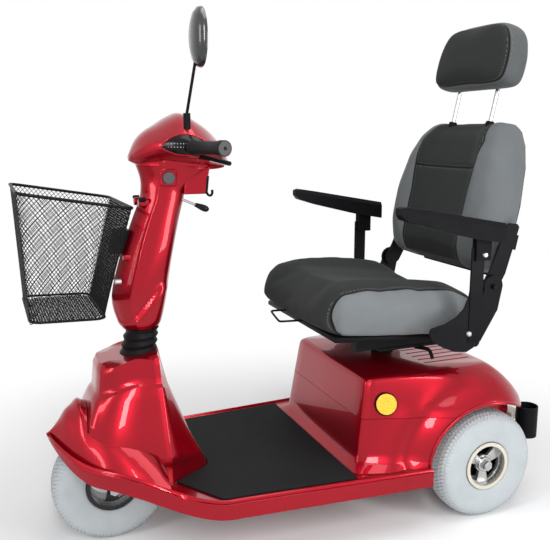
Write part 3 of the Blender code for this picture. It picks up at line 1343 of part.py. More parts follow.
back_cushion = make_back()
POST_W = -0.006
HEAD_LOW = 0.466
HEAD_TOP = 0.622
for side, sign in (("left", 1.0), ("right", -1.0)):
    cut(back_cushion, bar("post_bore_" + side, [back_point(0.220, POST_W, sign * HEAD_POST_Y),
                                                back_point(0.450, POST_W, sign * HEAD_POST_Y)],
                          HEAD_POST_R + 0.0008, None, None, 4))
HEADREST = ((HEAD_LOW, 0.132), (0.476, 0.148), (0.505, 0.154), (0.545, 0.153), (0.585, 0.139),
            (0.608, 0.118), (HEAD_TOP, 0.090))


def make_headrest():
    """Headrest cushion on two chrome posts joined by a hidden bar."""
    rings = []
    for u, half in HEADREST:
        thin = 0.6 if u in (HEAD_LOW, HEAD_TOP) else 1.0
        front = 0.060 * thin
        rear = -0.026 * thin
        pts = [(0.0, front), (0.62 * half, front), (0.86 * half, 0.90 * front),
               (0.97 * half, 0.62 * front), (half, 0.25 * front), (0.95 * half, 0.7 * rear),
               (0.82 * half, rear), (0.0, rear)]
        ring = [back_point(u, POST_W + w, y) for y, w in pts]
        ring += [back_point(u, POST_W + w, -y) for y, w in reversed(pts[1:-1])]
        rings.append(ring)
    pad = loft("headrest_cushion", rings, CHARCOAL, "headrest")
    path = rounded([back_point(0.290, POST_W, HEAD_POST_Y), back_point(0.520, POST_W, HEAD_POST_Y),
                    back_point(0.520, POST_W, -HEAD_POST_Y),
                    back_point(0.290, POST_W, -HEAD_POST_Y)], 0.012)
    bar("headrest_posts", path, HEAD_POST_R, CHROME, "headrest", 4)
    cut(pad, bar("posts_bore", [back_point(0.440, POST_W, HEAD_POST_Y)] + path[1:-1]
                 + [back_point(0.440, POST_W, -HEAD_POST_Y)], HEAD_POST_R + SEAT_GAP, None, None,
                 4))


make_headrest()


def make_cup():
    """Crutch cup and the pale strap that carries it off the frame."""
    wall = 0.0028
    inner = CUP_R - wall
    profile = [(CUP_R, CUP_H), (CUP_R, 0.0), (0.0, 0.0), (0.0, wall), (inner, wall),
               (inner, CUP_H)]
    cup = bpy.data.meshes.new("crutch_cup")
    cup.from_pydata([(r, 0.0, h) for r, h in profile], [(0, 1), (1, 2), (3, 4), (4, 5), (5, 0)],
                    [])
    obj = add("crutch_cup", cup, BLACK, "chassis", (CUP_X, CUP_Y, CUP_BOTTOM))
    spin = obj.modifiers.new("spin", "SCREW")
    spin.steps = 32
    spin.render_steps = 32
    spin.use_merge_vertices = True
    spin.merge_threshold = 1e-5

    def tail_x(z):
        low, high = REAR_LEVELS[1], REAR_LEVELS[2]
        return low[8] + (high[8] - low[8]) * (z - low[0]) / (high[0] - low[0]) - STRAP_SEAT

    outline = [(CUP_X, STRAP_Z[0]), (tail_x(STRAP_Z[0]), STRAP_Z[0]),
               (tail_x(STRAP_Z[1]), STRAP_Z[1]), (CUP_X, STRAP_Z[1])]
    strap = plate("cup_strap", outline, STRAP_W, PALE, "chassis",
                  lambda a, b, t: (a, CUP_Y - 0.060 + t, b))
    cut(strap, rod("cup_space", CUP_R + SEAT_GAP, 0.200, (CUP_X, CUP_Y, STRAP_Z[0]), None, None,
                   sides=32))


make_cup()
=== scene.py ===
"""Looks for the three-wheeled mobility scooter: gloss panels, a wire basket, stuffed seat
parts, tread, trim, and the pale studio that it stands in. Metres, +X forwards, +Z up.
Tables of places count x from the rear axle."""

import json
import math

import bmesh
import bpy
import numpy as np
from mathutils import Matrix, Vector


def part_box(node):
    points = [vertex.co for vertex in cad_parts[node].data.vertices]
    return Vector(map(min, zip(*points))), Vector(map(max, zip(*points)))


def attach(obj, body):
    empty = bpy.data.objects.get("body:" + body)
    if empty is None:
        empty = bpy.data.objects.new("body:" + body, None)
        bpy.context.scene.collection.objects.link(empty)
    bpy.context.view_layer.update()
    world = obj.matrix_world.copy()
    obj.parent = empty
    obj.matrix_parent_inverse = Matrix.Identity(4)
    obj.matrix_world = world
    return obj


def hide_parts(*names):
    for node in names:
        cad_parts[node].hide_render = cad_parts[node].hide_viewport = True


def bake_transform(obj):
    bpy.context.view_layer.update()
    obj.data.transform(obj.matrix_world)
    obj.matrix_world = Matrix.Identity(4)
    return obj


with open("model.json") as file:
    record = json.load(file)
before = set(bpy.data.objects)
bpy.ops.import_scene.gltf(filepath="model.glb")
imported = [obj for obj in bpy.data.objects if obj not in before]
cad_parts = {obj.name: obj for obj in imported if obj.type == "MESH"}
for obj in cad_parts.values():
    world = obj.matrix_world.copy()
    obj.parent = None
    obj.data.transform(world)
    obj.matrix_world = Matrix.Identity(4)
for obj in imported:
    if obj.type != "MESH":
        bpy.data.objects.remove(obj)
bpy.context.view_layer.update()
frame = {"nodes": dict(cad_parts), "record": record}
nodes = frame["nodes"]
home = {node: body for body, names in frame["record"]["behaviour"]["bodies"].items()
        for node in names}


# Front cowl: the shroud round the steering stem, moulded plastic in deep red metallic paint
# under clear lacquer. It stands on the floor moulding, is screwed to the frame, and closes on
# the steering boot through a round hole in its top.
class Field:
    """A value in a material's tree. Arithmetic on it adds Math nodes."""

    def __init__(self, tree, socket):
        self.tree = tree
        self.socket = socket

    def math(self, operation, *others):
        node = self.tree.nodes.new("ShaderNodeMath")
        node.operation = operation
        for slot, value in zip(node.inputs, (self, *others)):
            if isinstance(value, Field):
                self.tree.links.new(value.socket, slot)
            else:
                slot.default_value = value
        return Field(self.tree, node.outputs[0])

    def __add__(self, other):
        return self.math("ADD", other)

    __radd__ = __add__

    def __mul__(self, other):
        return self.math("MULTIPLY", other)

    __rmul__ = __mul__

    def __sub__(self, other):
        return self.math("SUBTRACT", other)

    def __rsub__(self, other):
        return self * -1.0 + other

    def __truediv__(self, other):
        return self.math("DIVIDE", other)

    def __gt__(self, other):
        return self.math("GREATER_THAN", other)

    def __lt__(self, other):
        return self.math("LESS_THAN", other)

    def __abs__(self):
        return self.math("ABSOLUTE")


class Nodes:
    """A node tree, and the ways to add nodes to it."""

    def __init__(self, tree):
        self.tree = tree

    def feed(self, socket, value):
        """Link a field to a socket, or set the socket to a number or colour."""
        if isinstance(value, Field):
            self.tree.links.new(value.socket, socket)
        elif isinstance(value, tuple) and len(value) == 3 and socket.type == "RGBA":
            socket.default_value = (*value, 1.0)
        else:
            socket.default_value = value

    def node(self, kind, settings=(), inputs=(), output=0):
        """Add a node of any type: its settings come first, then its sockets."""
        node = self.tree.nodes.new("ShaderNode" + kind)
        for key, value in dict(settings).items():
            setattr(node, key, value)
        for key, value in dict(inputs).items():
            self.feed(node.inputs[key], value)
        return Field(self.tree, node.outputs[output])

    def background_rays(self):
        """1 for the rays that see the background: camera, glossy or transmission."""
        camera, glossy, through = (self.node("LightPath", output=f"Is {kind} Ray")
                                   for kind in ("Camera", "Glossy", "Transmission"))
        return camera.math("MAXIMUM", glossy).math("MAXIMUM", through)


class Finish(Nodes):
    """One material: its Principled shader, and ways to build what varies over a surface."""

    def __init__(self, name, constants):
        self.material = bpy.data.materials.new(name)
        self.material.use_nodes = True
        super().__init__(self.material.node_tree)
        self.shader = self.tree.nodes["Principled BSDF"]
        for socket, value in constants.items():
            self.feed(self.shader.inputs[socket], value)
        self.place = self.node("TexCoord", output="Object")
        self.x, self.y, self.z = (self.node("SeparateXYZ", {}, {"Vector": self.place}, axis)
                                  for axis in "XYZ")

    def noise(self, scale, detail=2.0, rough=0.5):
        return self.node("TexNoise", {}, {"Vector": self.place, "Scale": scale,
                                          "Detail": detail, "Roughness": rough})

    def cells(self, scale):
        """Distance to the middle of small random cells."""
        return self.node("TexVoronoi", {}, {"Vector": self.place, "Scale": scale}, "Distance")

    def mix(self, low, high, factor):
        """Blend two colours by a factor."""
        return self.node("Mix", {"data_type": "RGBA"}, {0: factor, 6: low, 7: high}, 2)

    def step(self, value, low, high):
        """Rise smoothly from 0 to 1 as the value goes from low to high."""
        return self.node("MapRange", {"interpolation_type": "SMOOTHSTEP"},
                         {"Value": value, "From Min": low, "From Max": high})

    def vary(self, socket, value):
        self.feed(self.shader.inputs[socket], value)

    def relief(self, height, distance, strength=1.0):
        """Turn a height into the shader's normal."""
        self.vary("Normal", self.node("Bump", {}, {"Height": height, "Distance": distance,
                                                   "Strength": strength}, "Normal"))


def show(name, mesh, finish, body, angle=32.0):
    """Link a finished piece, shade it, paint it and hang it on its CAD body, if it has one."""
    mesh.materials.clear()
    mesh.materials.append(finish.material)
    mesh.shade_smooth()
    if angle < 180.0:
        mesh.set_sharp_from_angle(angle=math.radians(angle))
    piece = bpy.data.objects.new(name, mesh)
    bpy.context.scene.collection.objects.link(piece)
    if body:
        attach(piece, body)
    return piece


def vertex_data(mesh):
    """Places and normals of a mesh's vertices."""
    places = np.empty(len(mesh.vertices) * 3)
    mesh.vertices.foreach_get("co", places)
    normals = np.empty(len(mesh.vertices) * 3)
    mesh.vertex_normals.foreach_get("vector", normals)
    return places.reshape(-1, 3), normals.reshape(-1, 3)


def mesh_of(name, points, faces):
    """A welded mesh whose normals point away from its middle on the whole."""
    mesh = bpy.data.meshes.new(name)
    mesh.from_pydata(np.asarray(points, float).reshape(-1, 3).tolist(), [], faces)
    work = bmesh.new()
    work.from_mesh(mesh)
    bmesh.ops.delete(work, geom=[vert for vert in work.verts if not vert.link_faces])
    bmesh.ops.remove_doubles(work, verts=work.verts, dist=1e-6)
    bmesh.ops.recalc_face_normals(work, faces=work.faces)
    work.to_mesh(mesh)
    work.free()
    count = len(mesh.polygons)
    middles, outwards, areas = np.empty(count * 3), np.empty(count * 3), np.empty(count)
    mesh.polygons.foreach_get("center", middles)
    mesh.polygons.foreach_get("normal", outwards)
    mesh.polygons.foreach_get("area", areas)
    from_middle = middles.reshape(-1, 3) - vertex_data(mesh)[0].mean(0)
    if ((outwards.reshape(-1, 3) * from_middle).sum(1) * areas).sum() < 0.0:
        mesh.flip_normals()
    return mesh


def skin(name, points, wrap=(False, False), ends=False, keep=None):
    """A mesh on a grid of points: each cell is a quad, and wrap joins the last row or column
    to the first. With ends, the first and last rows are closed by one face each. With keep,
    one True or False a cell, only some cells are made."""
    rows, columns, _ = points.shape
    index = np.arange(rows * columns).reshape(rows, columns)
    if wrap[0]:
        index = np.vstack([index, index[:1]])
    if wrap[1]:
        index = np.hstack([index, index[:, :1]])
    quads = np.stack([index[:-1, :-1], index[1:, :-1], index[1:, 1:], index[:-1, 1:]], -1)
    if keep is not None:
        quads = quads[keep]
    faces = quads.reshape(-1, 4).tolist()
    if ends:
        faces += [index[0, :columns].tolist(), index[-1, :columns][::-1].tolist()]
    return mesh_of(name, points, faces)


def wires(name, paths, radius, sides=4, closed=False):
    """Round bars along many paths at once, shaped (bars, points, 3). Each section is a ring
    in the plane across the path, built from its tangent and a second direction that is the
    part of +Z or +X square to it."""
    paths = np.asarray(paths, float)
    if closed:
        tangent = np.roll(paths, -1, 1) - np.roll(paths, 1, 1)
    else:
        tangent = np.gradient(paths, axis=1)
    tangent /= np.linalg.norm(tangent, axis=2, keepdims=True)
    steep = np.abs(tangent[:, :, 2:]) > 0.9
    other = np.where(steep, np.array([1.0, 0.0, 0.0]), np.array([0.0, 0.0, 1.0]))
    across = np.cross(tangent, other)
    across /= np.linalg.norm(across, axis=2, keepdims=True)
    up = np.cross(across, tangent)
    turn = 2.0 * np.pi * (np.arange(sides) + 0.5) / sides
    rings = (paths[:, :, None] + radius * (np.cos(turn)[:, None] * across[:, :, None]
                                           + np.sin(turn)[:, None] * up[:, :, None]))
    bars, length = paths.shape[:2]
    index = np.arange(bars * length * sides).reshape(bars, length, sides)
    index = np.concatenate([index, index[:, :, :1]], 2)
    if closed:
        index = np.concatenate([index, index[:, :1]], 1)
    quads = np.stack([index[:, :-1, :-1], index[:, :-1, 1:], index[:, 1:, 1:],
                      index[:, 1:, :-1]], -1)
    faces = quads.reshape(-1, 4).tolist()
    if not closed:
        faces += index[:, 0, sides - 1::-1].tolist() + index[:, -1, :sides].tolist()
    return mesh_of(name, rings, faces)


def flowing(rows, times, breaks=()):
    """More rows on smooth curves through the given ones. Each stretch is a Catmull-Rom cubic
    of four neighbours; at an end or a break, the missing neighbour is the next row reflected
    in that end, so the curve may turn there."""
    rows = np.asarray(rows, float)
    last = len(rows) - 1
    t = (np.arange(times) / times).reshape((-1,) + (1,) * (rows.ndim - 1))
    out = []
    for i in range(last):
        b, c = rows[i], rows[i + 1]
        a = 2.0 * b - c if i == 0 or i in breaks else rows[i - 1]
        d = 2.0 * c - b if i + 1 == last or i + 1 in breaks else rows[i + 2]
        out.append(0.5 * (2.0 * b + (c - a) * t + (2.0 * a - 5.0 * b + 4.0 * c - d) * t ** 2
                          + (3.0 * b - a - 3.0 * c + d) * t ** 3))
    return np.concatenate(out + [rows[-1:]])


def woven(rows, along, round_it, row_breaks=(), column_breaks=()):
    """A grid made finer both ways by smooth curves."""
    grid = flowing(rows, along, row_breaks)
    return flowing(grid.swapaxes(0, 1), round_it, column_breaks).swapaxes(0, 1)


def both_sides(half, closed=True):
    """A grid of half sections from the centre line out, joined to its mirror image."""
    other = half[:, ::-1] * (1.0, -1.0, 1.0)
    if closed:
        return np.concatenate([half, other[:, 1:-1]], 1)
    return np.concatenate([other[:, :-1], half], 1)


def carved(mesh, cutters, wall=0.0):
    """A mesh with closed meshes taken away from it, after an open one gets its wall."""
    piece = bpy.data.objects.new("carving", mesh)
    bpy.context.scene.collection.objects.link(piece)
    if wall:
        shell = piece.modifiers.new("wall", "SOLIDIFY")
        shell.thickness = wall
        shell.offset = -1.0
    used = [piece]
    for cutter in cutters:
        tool = bpy.data.objects.new("cutter", cutter)
        bpy.context.scene.collection.objects.link(tool)
        step = piece.modifiers.new("cut", "BOOLEAN")
        step.operation = "DIFFERENCE"
        step.solver = "EXACT"
        step.object = tool
        used.append(tool)
    graph = bpy.context.evaluated_depsgraph_get()
    result = bpy.data.meshes.new_from_object(piece.evaluated_get(graph))
    for item in used:
        bpy.data.objects.remove(item, do_unlink=True)
    return result


def centre_of(name):
    """Middle of a CAD node's box."""
    low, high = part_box(name)
    return 0.5 * (np.array(low) + np.array(high))


REAR_HUB = centre_of("rear_tyre_left")
FRONT_HUB = centre_of("front_tyre")
AXLE_X, TRACK_HALF, TYRE_R = REAR_HUB
WHEELBASE = FRONT_HUB[0] - AXLE_X
HOME = np.array((AXLE_X, 0.0, 0.0))
RAKE = math.radians(14.0)

lacquer = Finish("red_lacquer", {"Metallic": 0.70, "Coat Weight": 0.85, "Coat Roughness": 0.015,
                                 "Coat IOR": 1.33, "IOR": 1.45, "Specular IOR Level": 0.1})
flake = lacquer.noise(1400.0, 1.0)
cloud = lacquer.noise(6.0, 2.0)
lacquer.vary("Base Color", lacquer.mix((0.250, 0.0010, 0.0070), (0.390, 0.0025, 0.0150),
                                       flake * 0.5 + cloud * 0.5))
lacquer.vary("Roughness", 0.25 + flake * 0.10)
lacquer.relief(lacquer.noise(110.0, 1.0), 0.00002)

SHEET = 0.0035
# Cowl, one row a level: rear x, corner y, flank x and y, middle x and y, front x and y, and
# the heights of its rear, flank, middle and front
COWL = (
    (0.6180, 0.054, 0.724, 0.1170, 0.800, 0.1190, 0.884, 0.082, 0.1478, 0.150, 0.168, 0.258),
    (0.6250, 0.055, 0.724, 0.1170, 0.796, 0.1185, 0.886, 0.082, 0.168, 0.190, 0.206, 0.272),
    (0.6280, 0.056, 0.724, 0.1220, 0.795, 0.1235, 0.892, 0.086, 0.176, 0.201, 0.218, 0.279),
    (0.6600, 0.054, 0.729, 0.1110, 0.795, 0.1120, 0.886, 0.076, 0.240, 0.262, 0.276, 0.306),
    (0.7020, 0.052, 0.735, 0.0890, 0.785, 0.0880, 0.873, 0.060, 0.345, 0.362, 0.369, 0.340),
    (0.7060, 0.049, 0.737, 0.0820, 0.785, 0.0800, 0.864, 0.054, 0.356, 0.372, 0.378, 0.352),
    (0.7200, 0.048, 0.740, 0.0780, 0.785, 0.0760, 0.859, 0.052, 0.412, 0.424, 0.430, 0.404),
    (0.7235, 0.044, 0.742, 0.0680, 0.785, 0.0660, 0.853, 0.044, 0.425, 0.429, 0.430, 0.412),
)
COWL_LEDGE = (2, 4, 5, 6)
COWL_EDGES = (2, 3, 4, 7)


def cowl_grid(grow):
    """The cowl's outlines from foot to top, pushed outwards by grow. A table row gives ten
    points from the rear's middle line to the front's, and smooth curves fill in between rows
    and points. The last outline lies on a plane that falls by 12% towards the front."""
    rows = []
    for rx, ry, fx, fy, mx, my, nx, ny, rz, fz, mz, nz in COWL:
        rows.append([(rx - grow, 0.0, rz), (rx + 0.002 - grow, 0.7 * ry, rz),
                     (rx + 0.007 - grow, ry + grow, rz + 0.1 * (fz - rz)),
                     (fx - 0.006, fy - 0.003 + grow, fz), (fx + 0.008, fy + grow, fz),
                     (mx, my + grow, mz),
                     (0.45 * mx + 0.55 * nx, 0.42 * my + 0.58 * ny + 0.010 + grow,
                      0.5 * (mz + nz)),
                     (nx - 0.003 + grow, ny + grow, nz), (nx + 0.002 + grow, 0.6 * ny, nz + 0.001),
                     (nx + 0.003 + grow, 0.0, nz + 0.001)])
    rows = np.array(rows)
    rows[-1, :, 2] = TYRE_R + 0.288 + (WHEELBASE + 0.015 - rows[-1, :, 0]) * 0.12
    return both_sides(woven(rows, 4, 4, COWL_LEDGE, COWL_EDGES))


def domed(grid, shares):
    """A grid closed by copies of its last row, each scaled about that row's middle."""
    last = grid[-1]
    middle = last.mean(0)
    return np.concatenate([grid] + [(middle + (last - middle) * s)[None] for s in shares])


def rod_mesh(start, end, radius, sides=64):
    """A plain cylinder, used as a cutter."""
    path = np.linspace(np.array(start) + HOME, np.array(end) + HOME, 2)[None]
    return wires("rod", path, radius, sides)


cowl_mesh = skin("cowl_surface", domed(cowl_grid(0.0), (0.7, 0.4, 0.1, 0.0)) + HOME,
                 (False, True))
BOOT_AT = 0.295
BOOT_HOLE_R = 0.034
bore = [(WHEELBASE - s * math.sin(RAKE), 0.0, TYRE_R + s * math.cos(RAKE))
        for s in (BOOT_AT - 0.04, BOOT_AT + 0.04)]
cowl_piece = show("cowl_moulding", carved(cowl_mesh, [rod_mesh(*bore, BOOT_HOLE_R)], SHEET),
                  lacquer, "chassis", 50.0)
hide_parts("front_cowl")


# Floor moulding: a flat deck with rolled edges that rises into a nose over the front wheel,
# moulded and painted as the cowl is and open underneath. It is screwed to the frame's rails,
# and is cut away beside the rear wheels and where the cowl stands.
DECK_Z = TYRE_R + 0.020
SKIRT_Z = TYRE_R - 0.017
FLOOR_HALF = TRACK_HALF + 0.016
FLOOR_REAR = 0.075
NOSE_START = WHEELBASE - 0.238
NOSE_TIP = WHEELBASE + 0.130
CORNER_X = WHEELBASE - 0.198
# Bonnet's centre line: distance past the front axle, height over it
RIDGE = ((-0.238, 0.020), (-0.118, 0.020), (-0.100, 0.085), (-0.080, 0.118), (-0.030, 0.156),
         (0.020, 0.182), (0.050, 0.194), (0.064, 0.202), (0.078, 0.190), (0.092, 0.179),
         (0.104, 0.161), (0.116, 0.146), (0.124, 0.138), (0.130, 0.1335))
BONNET = ((0.0, 0.0), (0.25, 0.045), (0.45, 0.15), (0.62, 0.30), (0.76, 0.49), (0.88, 0.72),
          (1.0, 1.0))


def floor_half(x):
    """Half width of the floor. Behind the nose the flanks widen by 7% of the distance back.
    Along the nose, with t from 0 to 1, the width falls as one less t to the power 2.2, all to
    the power 0.75."""
    t = np.clip((x - NOSE_START) / (NOSE_TIP - NOSE_START), 0.0, 1.0)
    return FLOOR_HALF * (1.0 - t ** 2.2) ** 0.75 + np.clip(NOSE_START - x, 0.0, None) * 0.07


def floor_grid(x):
    """Half sections of the floor, from the middle line out: seven points of deck or bonnet,
    then valley, rolled lip, groove and skirt. Each bonnet point is a share of the reach out
    and of the fall from the ridge to the edge. The bonnet grows out of the deck as its ridge
    rises, and the skirt lifts over the wheel by a smooth step and, at the tip, by the square
    of the share of the way."""
    half = floor_half(x)
    tip = np.clip((x - NOSE_TIP + 0.088) / 0.088, 0.0, 1.0) ** 2
    rise = np.clip((x - NOSE_START - 0.02) / 0.25, 0.0, 1.0)
    skirt = SKIRT_Z + 0.066 * rise ** 2 * (3.0 - 2.0 * rise) + 0.072 * tip
    groove = skirt + 0.036 * (1.0 - 0.8 * tip)
    lip = np.minimum(0.006, 0.3 * half)
    line = flowing(RIDGE, 8)
    ridge = TYRE_R + np.interp(x - WHEELBASE, line[:, 0], line[:, 1])
    bonnet = np.clip((ridge - DECK_Z - 0.002) / 0.06, 0.0, 1.0)
    flat = floor_half(np.minimum(x, CORNER_X)) - np.clip(x - CORNER_X, 0.0, None) * 1.57 - 0.016
    flat = np.maximum(flat, 0.30 * half)
    reach = (1.0 - bonnet) * flat + bonnet * (half - 2.6 * lip - 0.012 * half / FLOOR_HALF)
    valley = 0.35 * DECK_Z + 0.65 * groove
    nose = np.clip((x - WHEELBASE + 0.038) / 0.06, 0.0, 1.0)
    rim = valley + (0.35 + 0.65 * nose) * (groove + 0.001 - valley)
    edge = (1.0 - bonnet) * DECK_Z + bonnet * rim
    y = [reach * f for f, _ in BONNET]
    z = [ridge + (edge - ridge) * g for _, g in BONNET]
    y += [half - 2.0 * lip, half - lip, half - lip / 3.0, half, np.maximum(half - 0.002, 0.0),
          half, half]
    z += [(1.0 - bonnet) * valley + bonnet * (rim - 0.0005),
          groove + 0.0065 * (0.4 + 0.6 * lip / 0.006), groove + 0.0045, groove + 0.0015, groove,
          groove - 0.0015, skirt]
    return np.stack([np.broadcast_to(x[:, None], (len(x), len(y))), np.stack(y, 1),
                     np.stack(z, 1)], -1)


ARCH_R = TYRE_R + 0.028
ARCH_IN = TRACK_HALF - 0.063
steps = np.linspace(0.0, 1.0, 64)[1:]
stations = np.concatenate([[FLOOR_REAR], np.linspace(ARCH_R, NOSE_START, 22), NOSE_START
                           + (NOSE_TIP - 0.0006 - NOSE_START) * np.sin(steps * np.pi / 2.0)])
floor_points = flowing(floor_grid(stations).swapaxes(0, 1), 3, (6, 10, 11, 12)).swapaxes(0, 1)
floor_points = both_sides(floor_points, False)
beside_wheel = ((floor_points[:-1, :-1, 0] < ARCH_R - 0.001)
                & (np.abs(floor_points[:-1, :-1, 1]) > ARCH_IN - 0.002))
floor_mesh = skin("floor_surface", floor_points + HOME, keep=~beside_wheel)
hull = cowl_grid(0.0012)
foot = hull[:1] * (1.0, 1.0, 0.0) + (0.0, 0.0, TYRE_R - 0.050)
hull_mesh = skin("cowl_space", np.concatenate([foot, hull]) + HOME, (False, True), True)
floor_piece = show("floor_moulding", carved(floor_mesh, [hull_mesh], SHEET), lacquer,
                   "chassis", 50.0)
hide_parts("floor_shell")


# Rear body: a lower moulding round the wheel arches and a ribbed top cover that lifts off it,
# with a thin seam between them. Both are thin walled, painted as the cowl is, and screwed to
# the frame; a rolled lip follows each arch.

# One row a level: height, front x, corner y, side x and y, flare x and y, hip y,
# tail x and y
REAR = (
    (0.1503, 0.332, 0.226, 0.250, 0.248, 0.175, 0.258, 0.277, -0.135, 0.200),
    (0.1660, 0.317, 0.204, 0.245, 0.232, 0.170, 0.254, 0.277, -0.135, 0.200),
    (0.2640, 0.303, 0.197, 0.230, 0.216, 0.145, 0.250, 0.278, -0.124, 0.200),
    (0.2980, 0.298, 0.194, 0.220, 0.207, 0.120, 0.236, 0.273, -0.107, 0.197),
    (0.3280, 0.294, 0.191, 0.205, 0.200, 0.105, 0.216, 0.246, -0.082, 0.190),
    (0.3460, 0.291, 0.188, 0.200, 0.196, 0.100, 0.205, 0.216, -0.062, 0.180),
    (0.3530, 0.287, 0.184, 0.200, 0.192, 0.100, 0.198, 0.203, -0.052, 0.172),
    (0.3570, 0.280, 0.178, 0.198, 0.186, 0.100, 0.190, 0.194, -0.044, 0.164),
)
REAR_TIMES = 5
SEAM_ROW = 2
COVER_TOP = REAR[-1][0]
BODY_WALL = 0.004


def rear_half(row):
    """Half outline of one level of the rear body, twelve points from the front's middle line
    to the tail's. Those between the table's places are weighted means of their neighbours."""
    z, fx, cy, sx, sy, lx, ly, hy, tx, ty = row
    return [(fx, 0.0, z), (fx - 0.001, cy - 0.018, z), (fx - 0.004, cy - 0.006, z),
            (fx - 0.014, cy + 0.001, z), (sx, sy, z), (lx, ly, z),
            (0.4 * lx, 0.35 * ly + 0.65 * hy + 0.001, z), (0.0, hy, z),
            (tx * 0.45, hy - 0.003, z), (tx * 0.85, 0.5 * (hy + ty) + 0.004, z), (tx, ty, z),
            (tx - 0.003, 0.0, z)]


rear_points = woven([rear_half(row) for row in REAR], REAR_TIMES, 6, (1, 6), (1, 3, 10))
# The flank is hollowed ahead of the wheel arch and rolled out along its edge, each by a bell
# curve of the distance from the arch, which fades towards the middle and the top
from_axle = np.hypot(rear_points[..., 0], rear_points[..., 2] - TYRE_R)
flank = np.clip((rear_points[..., 1] - 0.15) / 0.05, 0.0, 1.0)
flank *= np.clip((0.345 - rear_points[..., 2]) / 0.04, 0.0, 1.0)
hollow = 0.0085 * np.exp(-((from_axle - ARCH_R - 0.052) / 0.020) ** 2)
rolled = 0.0060 * np.exp(-((from_axle - ARCH_R) / 0.016) ** 2)
rear_points[..., 1] += flank * (rolled - hollow * (rear_points[..., 0] > -0.02))
seam = SEAM_ROW * REAR_TIMES


def shelled(name, half):
    """A closed form of half outlines, and the core that hollows it from below to a thin wall
    with wheel wells."""
    full = both_sides(half)
    inner = full - np.sign(full * (0.0, 1.0, 0.0)) * BODY_WALL
    inner[..., 0] -= np.sign(full[..., 0] - 0.1) * BODY_WALL
    inner[0, :, 2] -= 0.010
    inner[-1, :, 2] -= BODY_WALL
    wells = [rod_mesh((0.0, side * (ARCH_IN - BODY_WALL), TYRE_R), (0.0, side * 0.40, TYRE_R),
                      ARCH_R + BODY_WALL) for side in (1.0, -1.0)]
    core = carved(skin(name + "_core", inner + HOME, (False, True), True), wells)
    outside = skin(name, full + HOME, (False, True), True)
    return outside, core


CORNER_COLUMN = 18
FLANK_END = 61


def lower_row(row):
    """One level of the lower moulding: the front and flank up to the wheel arch's circle at
    this height, in along the arch, back beside the wheel and across the tail."""
    z = row[0, 2]
    arch_x = math.sqrt(ARCH_R ** 2 - (z - TYRE_R) ** 2)
    x = np.linspace(row[CORNER_COLUMN, 0], arch_x, 31)[1:]
    y = np.interp(x, row[CORNER_COLUMN:FLANK_END, 0][::-1], row[CORNER_COLUMN:FLANK_END, 1][::-1])
    tail = row[:, 0].min()
    x = np.concatenate([x, np.full(4, arch_x), np.linspace(arch_x, tail, 9)[1:], np.full(3, tail)])
    y = np.concatenate([y, np.linspace(y[-1], ARCH_IN, 5)[1:], np.full(8, ARCH_IN),
                        np.linspace(ARCH_IN, 0.0, 4)[1:]])
    return np.concatenate([row[:CORNER_COLUMN + 1], np.stack([x, y, np.full(len(x), z)], -1)])


lower_points = np.array([lower_row(row) for row in rear_points[:seam + 1]])
lower = show("rear_lower_moulding", carved(skin("lower_surface", both_sides(lower_points) + HOME,
                                                (False, True)), [], BODY_WALL), lacquer,
             "chassis", 50.0)
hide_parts("rear_body_lower")
arches = [rod_mesh((0.0, side * ARCH_IN, TYRE_R), (0.0, side * 0.42, TYRE_R), ARCH_R)
          for side in (1.0, -1.0)]
upper_half = rear_points[seam:].copy()
upper_half[0, :, 2] += 0.0010
upper_out, upper_core = shelled("upper_surface", upper_half)
RIB_PITCH = 0.027
RIB_ENDS = (-0.030, 0.100)
RIB_R = 0.0034
grooves = wires("rib_grooves", [[(AXLE_X + x, k * RIB_PITCH, COVER_TOP + 0.0006)
                                 for x in RIB_ENDS] for k in range(-5, 6)], RIB_R, 6)
POST_X = 0.140
POST_HOLE_R = 0.030
post_hole = rod_mesh((POST_X, 0.0, 0.30), (POST_X, 0.0, 0.42), POST_HOLE_R)
upper = show("rear_cover_moulding", carved(upper_out, [upper_core, *arches, post_hole, grooves]),
             lacquer, "chassis", 50.0)
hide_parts("rear_cover")


def flank_y(x, z):
    """Side of the rear body at a distance along it and a height, read off between levels."""
    levels = rear_points[:, 0, 2]
    widths = [np.interp(x, row[CORNER_COLUMN:FLANK_END, 0][::-1],
                        row[CORNER_COLUMN:FLANK_END, 1][::-1]) for row in rear_points]
    return float(np.interp(z, levels, widths))


LIP_R = ARCH_R + 0.0035
LIP_WIRE_R = 0.0042
for side, title in ((1.0, "left"), (-1.0, "right")):
    turn = np.radians(np.linspace(9.0, 121.0, 40))
    edge = np.array([(LIP_R * math.cos(a), flank_y(LIP_R * math.cos(a),
                                                   TYRE_R + LIP_R * math.sin(a)),
                      TYRE_R + LIP_R * math.sin(a)) for a in turn])
    edge = edge * (1.0, side, 1.0) + HOME
    show("fender_lip_" + title, wires("fender_lip_" + title, edge[None], LIP_WIRE_R, 10),
         lacquer, "chassis", 180.0)


# Floor mat: one sheet of black rubber with a fine pebbled face, laid inside the floor's lip
# and glued down.
def merged(name):
    """Vertices and faces of a CAD node as one welded mesh without its loose triangles."""
    mesh = bpy.data.meshes.new(name + "_surface")
    work = bmesh.new()
    work.from_mesh(nodes[name].data)
    bmesh.ops.remove_doubles(work, verts=work.verts, dist=2e-5)
    bmesh.ops.dissolve_degenerate(work, dist=1e-5, edges=work.edges)
    flat = math.radians(0.6)
    bmesh.ops.dissolve_limit(work, angle_limit=flat, verts=work.verts, edges=work.edges)
    points = [vert.co[:] for vert in work.verts]
    work.verts.index_update()
    faces = [[vert.index for vert in face.verts] for face in work.faces]
    work.free()
    mesh.from_pydata(points, [], faces)
    return mesh


